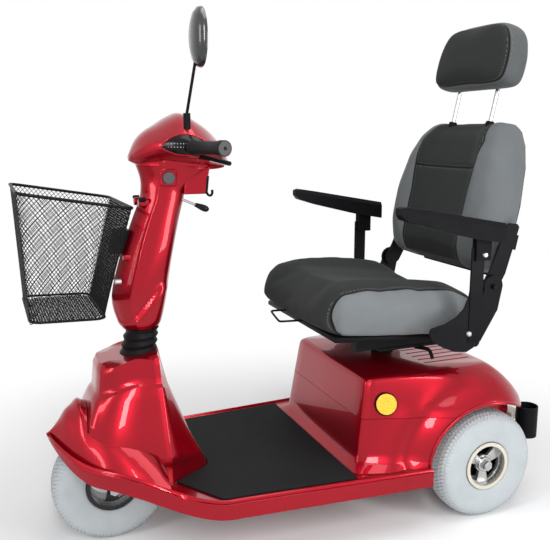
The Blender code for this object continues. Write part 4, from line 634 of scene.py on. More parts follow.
def rounded(piece, width, segments=2, angle=28.0):
    """Round a piece's edges with a bevel."""
    bevel = piece.modifiers.new("edges", "BEVEL")
    bevel.width = width
    bevel.segments = segments
    bevel.limit_method = "ANGLE"
    bevel.angle_limit = math.radians(angle)
    bevel.harden_normals = True
    return piece


def dressed(name, finish, width=0.0012, segments=2, angle=32.0, edge=28.0):
    """A welded copy of a CAD node with rounded edges, shown in its place."""
    piece = show(name + "_finished", merged(name), finish, home[name], angle)
    if width:
        rounded(piece, width, segments, edge)
    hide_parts(name)
    return piece


def mottled(name, constants, low, high, spots, rough, grain):
    """A finish whose colour drifts between two by one noise, and whose roughness rises from
    the first value of rough by the second times another. Spots and grain are the noises'
    scale, detail and roughness."""
    finish = Finish(name, {"Metallic": 0.0, **constants})
    finish.vary("Base Color", finish.mix(low, high, finish.noise(*spots)))
    finish.vary("Roughness", rough[0] + finish.noise(*grain) * rough[1])
    return finish


DULL = {"IOR": 1.45, "Specular IOR Level": 0.1}
rubber = mottled("pebbled_rubber", DULL, (0.007, 0.008, 0.008), (0.020, 0.021, 0.022),
                 (9.0, 4.0, 0.6), (0.62, 0.25), (9.0, 4.0, 0.6))
rubber.relief(rubber.cells(420.0), 0.0006, 0.8)
dressed("floor_mat", rubber, 0.0010, 2)


# Steering boot: a black moulded rubber bellows, clamped on the cowl's hole at its foot and
# round the column above.
soft_black = mottled("boot_rubber", {"IOR": 1.45, "Specular IOR Level": 0.12},
                     (0.004, 0.004, 0.005), (0.011, 0.011, 0.012), (60.0, 3.0), (0.34, 0.2),
                     (35.0, 2.0))
boot = rounded(show("boot_bellows", merged("steering_boot"), soft_black, None, 60.0),
               0.0016, 3, 20.0)
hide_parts("steering_boot")
boot_low, boot_high = (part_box("steering_boot")[end][2] for end in (0, 1))
BOOT_CLAMP = 0.012
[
    tuple(float(v) for v in HOME + (WHEELBASE - (z - TYRE_R) * math.tan(RAKE), 0.0, z))
    for z in (boot_low + BOOT_CLAMP, boot_high - BOOT_CLAMP)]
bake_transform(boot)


# Tiller: a red column cover with a crest along each flank, and a helmet-shaped head over the
# handlebar, both lacquered mouldings. A black switch panel lies in each side of the head, with
# a small red box behind it and a grey round cap on the neck.
def limit(value):
    """Keep an array or a material's value between 0 and 1."""
    if isinstance(value, Field):
        return value.math("MAXIMUM", 0.0).math("MINIMUM", 1.0)
    return np.clip(value, 0.0, 1.0)


def spun(name, start, end, profile, sides=32):
    """A turned form: a profile of (distance from the start, radius) spun round the line to the
    end. It is closed where the radius comes to nothing."""
    start = np.asarray(start, float)
    axis = np.asarray(end, float) - start
    axis /= np.linalg.norm(axis)
    across = np.cross(axis, (1.0, 0.0, 0.0) if abs(axis[0]) < 0.8 else (0.0, 0.0, 1.0))
    across /= np.linalg.norm(across)
    turn = 2.0 * np.pi * np.arange(sides)[:, None] / sides
    ring = np.cos(turn) * across + np.sin(turn) * np.cross(axis, across)
    along, radius = np.array(profile, float).T
    points = start + along[:, None, None] * axis + radius[:, None, None] * ring
    return skin(name, points, (False, True))


def axis_of(name):
    """Both ends of a long CAD node's middle line, and its largest radius round it."""
    middle = centre_of(name)
    points = vertex_data(nodes[name].data)[0] - middle
    axis = np.linalg.svd(points, full_matrices=False)[2][0]
    reach = points @ axis
    radius = np.linalg.norm(points - reach[:, None] * axis, axis=1).max()
    return middle + reach.min() * axis, middle + reach.max() * axis, radius


black_plastic = mottled("black_moulding", DULL, (0.002, 0.002, 0.003), (0.006, 0.006, 0.007),
                        (20.0, 3.0), (0.40, 0.18), (700.0, 2.0))
black_plastic.relief(black_plastic.noise(700.0, 2.0), 0.00008)
# Column, one row a level: height, rear x, front x, half width, crest x
COLUMN = (
    (0.480, 0.717, 0.796, 0.034, 0.764), (0.500, 0.708, 0.808, 0.042, 0.776),
    (0.555, 0.696, 0.818, 0.049, 0.784), (0.640, 0.681, 0.797, 0.047, 0.764),
    (0.710, 0.666, 0.772, 0.043, 0.742), (0.760, 0.653, 0.752, 0.040, 0.722),
    (0.786, 0.645, 0.747, 0.040, 0.716), (0.810, 0.617, 0.748, 0.042, 0.710),
    (0.836, 0.584, 0.756, 0.046, 0.706), (0.852, 0.576, 0.762, 0.048, 0.702),
)
# Head, one row a station: x, pod half width, top z, pod z, underside z, neck half width, low z
HEAD = (
    (0.771, 0.010, 0.858, 0.854, 0.850, 0.006, 0.8460),
    (0.756, 0.040, 0.888, 0.868, 0.848, 0.026, 0.8380),
    (0.738, 0.062, 0.907, 0.877, 0.852, 0.038, 0.8340),
    (0.714, 0.086, 0.922, 0.882, 0.857, 0.043, 0.8330),
    (0.688, 0.108, 0.938, 0.882, 0.856, 0.045, 0.8320),
    (0.662, 0.121, 0.947, 0.879, 0.853, 0.045, 0.8300),
    (0.634, 0.124, 0.933, 0.873, 0.850, 0.043, 0.8270),
    (0.606, 0.112, 0.914, 0.864, 0.844, 0.036, 0.8250),
    (0.580, 0.080, 0.888, 0.853, 0.838, 0.024, 0.8260),
    (0.561, 0.040, 0.856, 0.842, 0.834, 0.012, 0.8290),
)


def column_half(row):
    """Half section of the column at one height, from the rear's middle line round the crest to
    the front's. Each y is a share of the half width."""
    z, rear, front, half, crest = row
    return [(rear, 0.0, z), (rear + 0.006, 0.46 * half, z), (rear + 0.018, 0.77 * half, z),
            (0.45 * rear + 0.55 * crest, 0.93 * half, z), (crest - 0.010, 0.985 * half, z),
            (crest, half, z), (crest + 0.006, 0.92 * half, z),
            (0.35 * crest + 0.65 * front, 0.60 * half, z), (front - 0.003, 0.28 * half, z),
            (front, 0.0, z)]


def head_half(row):
    """Half section of the head at one station, from the top's middle line over the hood and the
    pod to the neck's underside. Each height is a share of the way between the row's heights."""
    x, half, top, pod, under, neck, low = row
    points = [(0.0, top), (0.25 * half, top - 0.05 * (top - pod)),
              (0.50 * half, top - 0.22 * (top - pod)), (0.76 * half, pod + 0.46 * (top - pod)),
              (0.94 * half, pod + 0.18 * (top - pod)), (half, pod),
              (0.97 * half, under + 0.35 * (pod - under)), (0.84 * half, under),
              (0.45 * half + 0.55 * neck, under - 0.16 * (under - low)),
              (neck, under - 0.45 * (under - low)), (0.96 * neck, low + 0.10 * (under - low)),
              (0.70 * neck, low), (0.0, low)]
    return [(x, y, z) for y, z in points]


def laid(target, points, lift=0.0):
    """Points projected along Y on a mesh from their own side, and lifted off it."""
    base = bpy.data.objects.new("base", target)
    mesh = bpy.data.meshes.new("sheet")
    mesh.from_pydata(points.reshape(-1, 3).tolist(), [], [])
    sheet = bpy.data.objects.new("sheet", mesh)
    for item in (base, sheet):
        bpy.context.scene.collection.objects.link(item)
    wrap = sheet.modifiers.new("wrap", "SHRINKWRAP")
    wrap.target = base
    wrap.wrap_method = "PROJECT"
    wrap.use_project_y = True
    wrap.use_negative_direction = bool(points.reshape(-1, 3)[0, 1] > 0.0)
    wrap.use_positive_direction = not wrap.use_negative_direction
    wrap.offset = lift
    graph = bpy.context.evaluated_depsgraph_get()
    found = bpy.data.meshes.new_from_object(sheet.evaluated_get(graph))
    out = vertex_data(found)[0].reshape(points.shape)
    for item in (base, sheet):
        bpy.data.objects.remove(item, do_unlink=True)
    return out


# A ledge that curls round the foot of the column: it rises backwards in a slow S
LEDGE_DEPTH = 0.0065
column_points = both_sides(woven([column_half(row) for row in COLUMN], 10, 6, (), (5,)))
rise = limit((0.795 - column_points[..., 0]) / 0.095)
above = column_points[..., 2] - 0.497 - 0.080 * rise ** 2 * (3.0 - 2.0 * rise)
ledge = LEDGE_DEPTH * limit(above / 0.006 + 0.5) * np.exp(-(np.maximum(above, 0.0) / 0.05) ** 2)
ledge *= limit((abs(column_points[..., 1]) - 0.006) / 0.012)
column_points[..., 1] -= np.sign(column_points[..., 1]) * ledge
head_points = both_sides(woven([head_half(row) for row in HEAD], 5, 4, (), (10,)))
column = show("column_moulding", skin("column_surface", column_points + HOME, (False, True),
                                      True), lacquer, "tiller", 60.0)
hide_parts("tiller_column")
helmet = show("head_moulding", skin("head_surface", head_points + HOME, (False, True), True),
              lacquer, "tiller", 60.0)
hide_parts("tiller_head")

panel_black = Finish("switch_panel", {"Metallic": 0.0, "Coat Weight": 0.1, "IOR": 1.45,
                                      "Specular IOR Level": 0.2})
mark_z = panel_black.step(abs(abs(panel_black.z - 0.8790) - 0.0035), 0.0013, 0.0008)
mark_x = panel_black.step((panel_black.x * 1150.0).math("SINE"), 0.25, 0.45)
marked = panel_black.step(abs(panel_black.x - float(AXLE_X + 0.690)), 0.017, 0.016)
panel_black.vary("Base Color", panel_black.mix((0.002, 0.002, 0.003), (0.30, 0.30, 0.30),
                                               mark_z * mark_x * marked))
panel_black.vary("Roughness", 0.18 + panel_black.noise(60.0) * 0.08)
cap_grey = mottled("grey_cap", {"IOR": 1.45, "Specular IOR Level": 0.3}, (0.060, 0.055, 0.056),
                   (0.090, 0.085, 0.086), (80.0,), (0.5, 0.1), (300.0,))
PANEL_ENDS = (0.718, 0.626)
PANEL_Z = 0.8765
CAP_AT = (0.6945, 0.810)
CAP_R = 0.0135
for side, title in ((1.0, "left"), (-1.0, "right")):
    share = np.linspace(0.015, 0.985, 33)[None, :]
    across = np.linspace(-1.0, 1.0, 9)[:, None]
    swell = np.sin(np.pi * share) ** 0.6 * np.where(across > 0.0, 0.0250, 0.0175)
    eye = np.stack([PANEL_ENDS[0] + (PANEL_ENDS[1] - PANEL_ENDS[0]) * share + 0.0 * across,
                    0.0 * share + 0.0 * across + side * 0.2, PANEL_Z + across * swell], -1) + HOME
    eye = laid(helmet.data, eye, 0.0010)
    show("switch_panel_" + title, carved(skin("panel_" + title, eye), [], 0.0015), panel_black,
         "tiller", 40.0)
    edge = np.concatenate([eye[0], eye[-1, ::-1]])
    show("panel_rim_" + title, wires("panel_rim_" + title, edge[None], 0.0021, 8, True), lacquer,
         "tiller", 180.0)
    quarter = np.radians(np.arange(0.0, 91.0, 22.5))
    square = np.concatenate([np.stack([sx * 0.0135 + 0.0040 * np.cos(quarter + a), 0.0 * quarter,
                                       sz * 0.0135 + 0.0040 * np.sin(quarter + a)], -1)
                             for sx, sz, a in ((1, 1, 0.0), (-1, 1, 0.5 * np.pi),
                                               (-1, -1, np.pi), (1, -1, 1.5 * np.pi))])
    square = square + (CAP_AT[0], side * 0.2, CAP_AT[1]) + HOME
    square = laid(column.data, square)
    show("cap_frame_" + title, wires("cap_frame_" + title, square[None], 0.0014, 8, True),
         lacquer, "tiller", 180.0)
    foot = np.array((CAP_AT[0], side * 0.025, CAP_AT[1])) + HOME
    top = float(abs(square[:, 1]).max()) - 0.025
    show("round_cap_" + title, spun("round_cap_" + title, foot, foot + (0.0, side * 0.02, 0.0), (
        (0.0, 0.0), (0.0, CAP_R), (top + 0.0015, CAP_R), (top + 0.0035, CAP_R - 0.002),
        (top + 0.0040, 0.0))), cap_grey, "tiller", 40.0)


def slab(name, outline, half):
    """A flat outline of (x, z) points given thickness across the vehicle."""
    line = np.array([(x, 0.0, z) for x, z in outline])
    return skin(name, np.stack([line - (0.0, half, 0.0), line + (0.0, half, 0.0)]) + HOME,
                (False, True), True)


box_piece = rounded(show("console_moulding", slab("console_moulding", (
    (0.612, 0.773), (0.660, 0.773), (0.655, 0.832), (0.600, 0.832)), 0.034), lacquer, "tiller"),
    0.0025, 3)
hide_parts("console_box")
rounded(show("console_back", slab("console_back", (
    (0.6065, 0.775), (0.6125, 0.773), (0.6085, 0.812), (0.6025, 0.812)), 0.0345), black_plastic,
    "tiller"), 0.001)
hook = np.array([(0.608, 0.026, 0.778), (0.603, 0.026, 0.770), (0.597, 0.026, 0.769),
                 (0.594, 0.026, 0.774), (0.594, 0.026, 0.781)]) + HOME
show("key_hook", wires("key_hook", flowing(hook, 4)[None], 0.0028, 8), black_plastic, "tiller",
     180.0)

raw_steel = mottled("bare_steel", {"Metallic": 1.0}, (0.36, 0.36, 0.37), (0.56, 0.56, 0.56),
                    (240.0, 3.0), (0.28, 0.2), (240.0, 3.0))
one, other, _ = axis_of("tilt_lever")
root, tip = (one, other) if one[0] > other[0] else (other, one)
long = float(np.linalg.norm(tip - root))
lever = show("tilt_rod", spun("tilt_rod", root, tip, ((-0.012, 0.0), (-0.012, 0.0027),
                                                      (0.60 * long, 0.0027), (0.60 * long, 0.0)),
                              12), raw_steel, "tiller", 40.0)
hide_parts("tilt_lever")
show("tilt_knob", spun("tilt_knob", root, tip, [
    (share * long, radius) for share, radius in (
        (0.44, 0.0), (0.44, 0.0044), (0.52, 0.0050), (0.66, 0.0066), (0.80, 0.0076),
        (0.91, 0.0068), (0.98, 0.0040), (1.0, 0.0))], 24), panel_black, "tiller", 60.0)
for part in ("lever_left", "lever_right"):
    dressed(part, black_plastic, 0.0)


# Handlebar and grips: a black steel tube through the head, with a soft rubber grip between
# two collars pushed on each end and closed by a grey cap.
steel_black = mottled("black_powder_coat", DULL, (0.002, 0.002, 0.003), (0.006, 0.006, 0.007),
                      (14.0, 3.0), (0.36, 0.16), (1100.0, 1.0))
steel_black.relief(steel_black.noise(1100.0, 1.0), 0.00006)
dressed("handlebar", steel_black, 0.0)
for part in ("grip_left", "grip_right"):
    one, other, radius = axis_of(part)
    root, tip = (one, other) if abs(one[1]) < abs(other[1]) else (other, one)
    long = float(np.linalg.norm(tip - root))
    sleeve = show(part + "_sleeve", spun(part + "_sleeve", root, tip, (
        (0.0, 0.0), (0.0, radius - 0.002), (0.003, radius), (0.010, radius),
        (0.013, radius - 0.0018), (long - 0.020, radius - 0.0014), (long - 0.017, radius),
        (long - 0.001, radius), (long - 0.0002, 0.0)), 40), soft_black, "tiller", 40.0)
    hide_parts(part)
    show(part + "_end", spun(part + "_end", root, tip, (
        (long - 0.003, 0.0), (long - 0.003, radius - 0.0005), (long, radius - 0.002),
        (long + 0.0004, 0.0040), (long - 0.0015, 0.0034), (long - 0.0015, 0.0)), 40), cap_grey,
         "tiller", 40.0)


# Mirror: a black domed plastic shell with flat glass that faces the rider, on a thin bent
# steel stalk that is pushed into the head.
def frame_of(name):
    """A CAD node's middle and its long, middle and thin directions, with half of its length
    along each."""
    middle = centre_of(name)
    points = vertex_data(nodes[name].data)[0] - middle
    axes = np.linalg.svd(points, full_matrices=False)[2]
    return middle, axes, abs(points @ axes.T).max(0)


gloss_black = mottled("black_gloss", {"Coat Weight": 0.6, "IOR": 1.5}, (0.008, 0.008, 0.009),
                      (0.016, 0.016, 0.017), (30.0, 2.0), (0.20, 0.12), (80.0, 2.0))
dressed("mirror_head", gloss_black, 0.0, 2, 50.0)
glass = mottled("mirror_glass", {"Metallic": 1.0}, (0.55, 0.57, 0.58), (0.66, 0.68, 0.69),
                (20.0,), (0.02, 0.02), (150.0,))
middle, (tall, wide, thin), reach = frame_of("mirror_head")
thin = thin * (-1.0 if thin[0] > 0.0 else 1.0)
turn = 2.0 * np.pi * np.arange(48)[:, None] / 48
disc = [middle + thin * lift + share * (np.cos(turn) * tall * reach[0]
                                        + np.sin(turn) * wide * reach[1])
        for share, lift in ((0.0, reach[2] + 0.0006), (0.86, reach[2] + 0.0006),
                            (0.90, reach[2] - 0.0010), (0.0, reach[2] - 0.0010))]
show("mirror_glass", skin("mirror_glass", np.array(disc), (False, True)), glass, "tiller")
dressed("mirror_stalk", steel_black, 0.0)


# Basket: black coated wire, an expanded diamond mesh between a rim rod and a floor frame. It
# hooks on a bracket on the front of the column, and its walls taper towards the floor.
BASKET_LOW = (0.851, 0.996, 0.129, 0.538, 0.542)
BASKET_RIM = (0.792, 1.007, 0.150, 0.758, 0.794)
BASKET_CORNER = 0.022
STRAND_R = 0.00075
FLOOR_STRAND_R = 0.0008
FLOOR_PITCH = 0.0100
MESH_STRANDS = 104
MESH_TWIST = 0.22


def basket_loop(share, level):
    """Points round the basket: a rectangle with quarter-circle corners, walked by arc length
    share (0 to 1), and blended between the floor's loop and the rim's by level (0 to 1)."""
    loops = []
    for rear, front, half, rear_z, front_z in (BASKET_LOW, BASKET_RIM):
        quarter = np.radians(np.arange(0.0, 91.0, 10.0))
        inner_x = 0.5 * (front - rear) - BASKET_CORNER
        inner_y = half - BASKET_CORNER
        outline = [(sx * inner_x + BASKET_CORNER * np.cos(quarter + a),
                    sy * inner_y + BASKET_CORNER * np.sin(quarter + a))
                   for sx, sy, a in ((1, 1, 0.0), (-1, 1, np.pi / 2), (-1, -1, np.pi),
                                     (1, -1, 1.5 * np.pi))]
        xs = np.concatenate([part[0] for part in outline] + [outline[0][0][:1]])
        ys = np.concatenate([part[1] for part in outline] + [outline[0][1][:1]])
        run = np.concatenate([[0.0], np.cumsum(np.hypot(np.diff(xs), np.diff(ys)))])
        at = np.mod(share, 1.0) * run[-1]
        x = 0.5 * (front + rear) + np.interp(at, run, xs)
        z = rear_z + (front_z - rear_z) * (x - rear) / (front - rear)
        loops.append(np.stack([x + AXLE_X, np.interp(at, run, ys), z], -1))
    level = np.asarray(level)[..., None]
    return loops[0] * (1.0 - level) + loops[1] * level


coated_wire = mottled("coated_wire", DULL, (0.003, 0.003, 0.004), (0.009, 0.009, 0.010),
                      (40.0, 2.0), (0.32, 0.2), (90.0, 2.0))
start = np.arange(MESH_STRANDS)[:, None] / MESH_STRANDS
climb = np.linspace(0.0, 1.0, 22)[None, :]
strands = np.concatenate([basket_loop(start + sign * MESH_TWIST * climb,
                                      np.broadcast_to(climb, (MESH_STRANDS, 22)))
                          for sign in (1.0, -1.0)])
mesh_walls = show("basket_mesh", wires("basket_mesh", strands, STRAND_R), coated_wire,
                  "tiller", 180.0)
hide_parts("basket")
low_rear, low_front, low_half, low_z, _ = BASKET_LOW
floor_lines = []
for sign in (1.0, -1.0):
    for k in range(-26, 27):
        a = np.linspace(-1.0, 1.0, 9)
        x = 0.5 * (low_rear + low_front) + a * 0.5 * (low_front - low_rear)
        y = sign * (a * 0.5 * (low_front - low_rear)) + k * FLOOR_PITCH
        keep = np.abs(y) < low_half
        if keep.sum() > 2:
            xs = np.linspace(x[keep][0], x[keep][-1], 9)
            ys = np.linspace(y[keep][0], y[keep][-1], 9)
            floor_lines.append(np.stack([xs + AXLE_X, ys, np.full(9, low_z)], -1))
show("basket_floor", wires("basket_floor", floor_lines, FLOOR_STRAND_R), coated_wire,
     "tiller", 180.0)
round_share = np.linspace(0.0, 1.0, 97)[None, :-1]
for title, level, radius in (("rim", 1.0, 0.0034), ("foot", 0.0, 0.0026)):
    loop = basket_loop(round_share, np.full(round_share.shape, level))
    show("basket_" + title, wires("basket_" + title, loop, radius, 8, True), coated_wire,
         "tiller", 180.0)
dressed("basket_bracket", steel_black, 0.002)
# Bosses that carry the bracket on the column: distance ahead, out and up, length, radius
for title, (x, y, z, long, radius), finish in (
        ("latch", (0.736, 0.024, 0.757, 0.022, 0.0090), lacquer),
        ("latch_pin", (0.744, 0.033, 0.765, 0.014, 0.0048), black_plastic),
        ("boss", (0.776, 0.028, 0.642, 0.019, 0.0068), lacquer),
        ("clip", (0.801, 0.028, 0.591, 0.015, 0.0060), raw_steel)):
    for side in (1.0, -1.0):
        root = np.array((x, side * y, z)) + HOME
        show("bracket_" + title, spun("bracket_" + title, root, root + (long, 0.0, 0.0), (
            (0.0, 0.0), (0.0, radius), (long - 0.002, radius), (long, radius - 0.002),
            (long, 0.0)), 20), finish, "tiller", 40.0)


# Fork, frame and drive: welded tube and flat bar, powder coated black, with bare steel axles,
# a cast transaxle and the battery block, all bolted under the floor and the rear body.
for part in ("steering_fork", "frame"):
    dressed(part, steel_black, 0.0008)
for part in ("front_axle", "rear_axle"):
    dressed(part, raw_steel, 0.0005)
cast = mottled("cast_housing", {"Metallic": 0.7}, (0.10, 0.10, 0.10), (0.22, 0.22, 0.22),
               (50.0, 4.0), (0.5, 0.2), (160.0, 2.0))
cast.relief(cast.noise(300.0, 3.0), 0.0002)
dressed("transaxle", cast, 0.001)
battery = mottled("battery_case", {}, (0.015, 0.015, 0.016), (0.03, 0.03, 0.03), (25.0, 2.0),
                  (0.5, 0.15), (200.0, 2.0))
dressed("battery_pack", battery, 0.0)


# Tyres: solid pale grey rubber with a tread of small staggered blocks that is cut into the
# round face and fades out on the shoulders. The bead sits on the rim.
TREAD_DEPTH = 0.0026
TREAD_BLOCKS = 84
TREAD_ROW = 0.0092
TYRE_PROFILE = ((0.0583, -0.030), (0.0600, -0.0345), (0.066, -0.0372), (0.078, -0.0392),
                (0.092, -0.0400), (0.104, -0.0394), (0.114, -0.0372), (0.121, -0.0335),
                (0.1262, -0.0270), (0.1288, -0.0180), (0.1298, -0.0090), (0.1300, 0.0))


def tyre_mesh(name, centre):
    """A tyre: a half profile mirrored and resampled by arc length, spun round the axle. The
    radius falls by the tread's depth in grooves between staggered blocks, each groove a
    smooth notch in the angle and in the distance across the face."""
    half = np.array(TYRE_PROFILE)
    whole = np.vstack([half, (half * (1.0, -1.0))[-2::-1]])
    run = np.concatenate([[0.0], np.cumsum(np.hypot(*np.diff(whole, axis=0).T))])
    share = np.linspace(0.0, run[-1], 76)
    radius = np.interp(share, run, whole[:, 0])[:, None]
    width = np.interp(share, run, whole[:, 1])[:, None]
    angle = np.linspace(0.0, 2.0 * np.pi, TREAD_BLOCKS * 7 + 1)[None, :-1]
    row = width / TREAD_ROW
    stagger = 0.5 * np.mod(np.floor(row + 0.5), 2.0)
    along = np.abs(np.mod(angle * TREAD_BLOCKS / (2.0 * np.pi) + stagger, 1.0) - 0.5)
    side = np.abs(np.mod(row + 0.5, 1.0) - 0.5)
    notch = np.clip((np.maximum(along, side) - 0.33) / 0.08, 0.0, 1.0)
    reach = np.clip((radius - 0.108) / 0.008, 0.0, 1.0)
    radius = radius - TREAD_DEPTH * notch * reach
    x, y, z = centre
    points = np.stack([x + radius * np.cos(angle), y + width + 0.0 * angle,
                       z + radius * np.sin(angle)], -1)
    return skin(name, points, (True, True))


tyre_rubber = mottled("grey_tyre", {"IOR": 1.45}, (0.34, 0.37, 0.385), (0.45, 0.48, 0.495),
                      (28.0, 4.0, 0.6), (0.66, 0.2), (28.0, 4.0, 0.6))
tyre_rubber.relief(tyre_rubber.noise(260.0, 2.0), 0.0002)
for part in ("front_tyre", "rear_tyre_left", "rear_tyre_right"):
    tyre = show(part + "_tread", tyre_mesh(part + "_tread", centre_of(part)), tyre_rubber,
                home[part], 50.0)
    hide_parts(part)


# Rims: pressed discs with three windows, pale silver behind and black with a grey band in
# front, held by one nut on the axle. Each rear rim is painted near black inside its outer face
# and holds a black disc, as painted shade seen through its windows.
silver = Finish("silver_rim", {"Metallic": 0.8})
silver_wear = silver.noise(45.0, 3.0)
rear_x = silver.x - float(AXLE_X)
rear_z = silver.z - float(TYRE_R)
hub_distance = (rear_x * rear_x + rear_z * rear_z).math("SQRT")
flange = silver.step(hub_distance, 0.0480, 0.0488)
polished = silver.mix((0.30, 0.30, 0.30), (0.62, 0.62, 0.61), silver_wear)
cream = silver.mix((0.62, 0.58, 0.48), (0.72, 0.69, 0.60), silver_wear)
# Inside the outer face, away from the flange, the rim is painted near black: painted shade in the
# wheel's hollow.
outer_face = silver.step(abs(silver.y), float(TRACK_HALF) + 0.0075, float(TRACK_HALF) + 0.0095)
bright = silver.mix(polished, cream, flange)
silver.vary("Base Color", silver.mix((0.010, 0.010, 0.011), bright, outer_face.math(
    "MAXIMUM", flange)))
silver.vary("Roughness", 0.20 + silver_wear * 0.12 + flange * 0.15)
for part, side in (("rear_rim_left", 1.0), ("rear_rim_right", -1.0)):
    dressed(part, silver, 0.0008)
    hub = REAR_HUB * (1.0, side, 1.0) - (0.0, side * 0.016, 0.0)
    # A black disc inside each rear rim: painted shade behind the rim's windows.
    show(part + "_shade_disc", spun(part + "_shade_disc", hub, hub + (0.0, side * 0.01, 0.0), (
        (0.0, 0.0), (0.0, 0.044), (0.006, 0.044), (0.009, 0.040), (0.009, 0.0)), 40),
         steel_black, home[part], 40.0)
front_paint = Finish("front_rim_paint", {"Metallic": 0.3})
front_x = front_paint.x - float(FRONT_HUB[0])
front_z = front_paint.z - float(FRONT_HUB[2])
front_distance = (front_x * front_x + front_z * front_z).math("SQRT")
band = front_paint.step(abs(front_distance - 0.0475), 0.0022, 0.0008)
hub = front_paint.step(front_distance, 0.0195, 0.0180)
front_wear = front_paint.noise(60.0, 3.0)
front_paint.vary("Base Color", front_paint.mix(
    front_paint.mix((0.006, 0.006, 0.007), (0.014, 0.014, 0.015), front_wear),
    front_paint.mix((0.20, 0.20, 0.20), (0.42, 0.42, 0.42), front_wear), band.math(
        "MAXIMUM", hub)))
front_paint.vary("Roughness", 0.28 + front_wear * 0.15)
dressed("front_rim", front_paint, 0.0008)


# Reflectors, cup and strap: amber ribbed lenses in round seats, a black plastic cup for the
# foot of a crutch, and the pale strap that ties it to the body.
amber = Finish("amber_lens", {"Metallic": 0.0, "Coat Weight": 0.8, "IOR": 1.5})
amber_cell = amber.cells(260.0)
amber.vary("Base Color", amber.mix((0.92, 0.56, 0.015), (0.74, 0.34, 0.005), amber_cell))
amber.vary("Roughness", 0.12 + amber_cell * 0.15)
amber.relief(amber_cell, 0.0006)
for part in ("reflector_left", "reflector_right"):
    dressed(part, amber, 0.0012, 3)
    middle, (wide, high, flat), reach = frame_of(part)
    turn = np.linspace(0.0, 2.0 * np.pi, 49)[:-1, None]
    ring = middle + (reach[0] + 0.0006) * (np.cos(turn) * wide + np.sin(turn) * high)
    show(part + "_ring", wires(part + "_ring", ring[None], 0.0021, 8, True), black_plastic,
         "chassis", 180.0)
dressed("crutch_cup", black_plastic, 0.0006)
pale = mottled("pale_strap", {}, (0.62, 0.60, 0.52), (0.74, 0.72, 0.64), (30.0, 3.0),
               (0.45, 0.2), (90.0, 2.0))
dressed("cup_strap", pale, 0.001)


# Seat base: post, swivel plate, slides, pan, hinge plates and armrest uprights, all pressed
# or welded steel in black powder coat.
for part in ("seat_post", "swivel_base", "seat_pan", "arm_upright_left", "arm_upright_right"):
    dressed(part, steel_black, 0.0006)
bail = np.array([(0.350, 0.031, 0.464), (0.420, 0.031, 0.467), (0.430, 0.029, 0.4672),
                 (0.434, 0.020, 0.468), (0.434, -0.020, 0.478), (0.430, -0.029, 0.4788),
                 (0.420, -0.031, 0.479), (0.350, -0.031, 0.476)]) + HOME
bail_piece = show("slide_bail", wires("slide_bail", flowing(bail, 4)[None], 0.0026, 10),
                  steel_black, "seat", 180.0)
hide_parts("slide_handle")
# Gusset that carries each armrest upright round the seat's rear corner: (x, z) outline
GUSSET = ((0.052, 0.585), (0.074, 0.585), (0.080, 0.545), (0.092, 0.520), (0.112, 0.502),
          (0.140, 0.490), (0.176, 0.483), (0.180, 0.470), (0.172, 0.455), (0.145, 0.438),
          (0.112, 0.424), (0.080, 0.420), (0.062, 0.428), (0.054, 0.450))
for side, node in ((1.0, "arm_upright_left"), (-1.0, "arm_upright_right")):
    face = abs(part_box(node)[1 if side > 0.0 else 0][1]) - 0.002
    line = np.array([(x, side * face, z) for x, z in GUSSET]) + HOME
    plate = skin("gusset", np.stack([line, line - (0.0, side * 0.005, 0.0)]), (False, True), True)
    rounded(show("arm_gusset", plate, steel_black, "seat"), 0.0012)
# Bolt heads on the armrests' pivots and uprights: distance ahead and up, and the height below
# which the widest place of the carrying piece is their seat
for title, x, z, top, node in (("upper", 0.050, 0.641, 0.660, "arm_pad_"),
                               ("lower", 0.078, 0.463, 9.0, "arm_upright_")):
    for side, hand in ((1.0, "left"), (-1.0, "right")):
        part = node + hand
        places = vertex_data(nodes[part].data)[0]
        face = float(abs(places[places[:, 2] < top, 1]).max()) - 0.004
        root = np.array((x, side * face, z)) + HOME
        show("bolt_" + title, spun("bolt_" + title, root, root + (0.0, side * 0.01, 0.0), (
            (0.0, 0.0), (0.0, 0.0068), (0.0055, 0.0068), (0.0085, 0.0045), (0.0095, 0.0)), 24),
             raw_steel, home[part], 40.0)

HINGE = (-0.015, 0.556)
LEAN = math.radians(12.5)
SHELL_HALF = 0.2045
SHELL_NARROW = 0.92
SHELL_SHIFT = (-0.002, 0.0, -0.006)
RECLINER_Y = 0.2206
RECLINER_T = 0.005


def on_back(up, front, y):
    """A point given by its distance up the leaning back and in front of it: the hinge, plus
    both distances turned by the lean."""
    return np.array((AXLE_X + HINGE[0] - up * math.sin(LEAN) + front * math.cos(LEAN), y,
                     HINGE[1] + up * math.cos(LEAN) + front * math.sin(LEAN)))


# Backrest's hard shell, and the flat bars that hold it by its sides: (up, front) outline
RECLINER = ((-0.020, -0.012), (-0.024, 0.003), (-0.016, 0.017), (0.0, 0.022), (0.034, 0.010),
            (0.144, -0.010), (0.150, -0.014), (0.152, -0.038), (0.146, -0.045), (0.034, -0.036),
            (-0.006, -0.024))
shell_mesh = merged("back_shell")
work = bmesh.new()
work.from_mesh(shell_mesh)
for side in (1.0, -1.0):
    cut = bmesh.ops.bisect_plane(work, geom=work.verts[:] + work.edges[:] + work.faces[:],
                                 plane_co=(0.0, side * SHELL_HALF, 0.0),
                                 plane_no=(0.0, side, 0.0), clear_outer=True)
    open_edges = [item for item in cut["geom_cut"] if isinstance(item, bmesh.types.BMEdge)]
    bmesh.ops.holes_fill(work, edges=open_edges)
work.to_mesh(shell_mesh)
work.free()
places = vertex_data(shell_mesh)[0] * (1.0, SHELL_NARROW, 1.0) + SHELL_SHIFT
shell_mesh.vertices.foreach_set("co", places.ravel())
shell = rounded(show("back_panel", shell_mesh, black_plastic, "backrest"), 0.002)
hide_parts("back_shell")
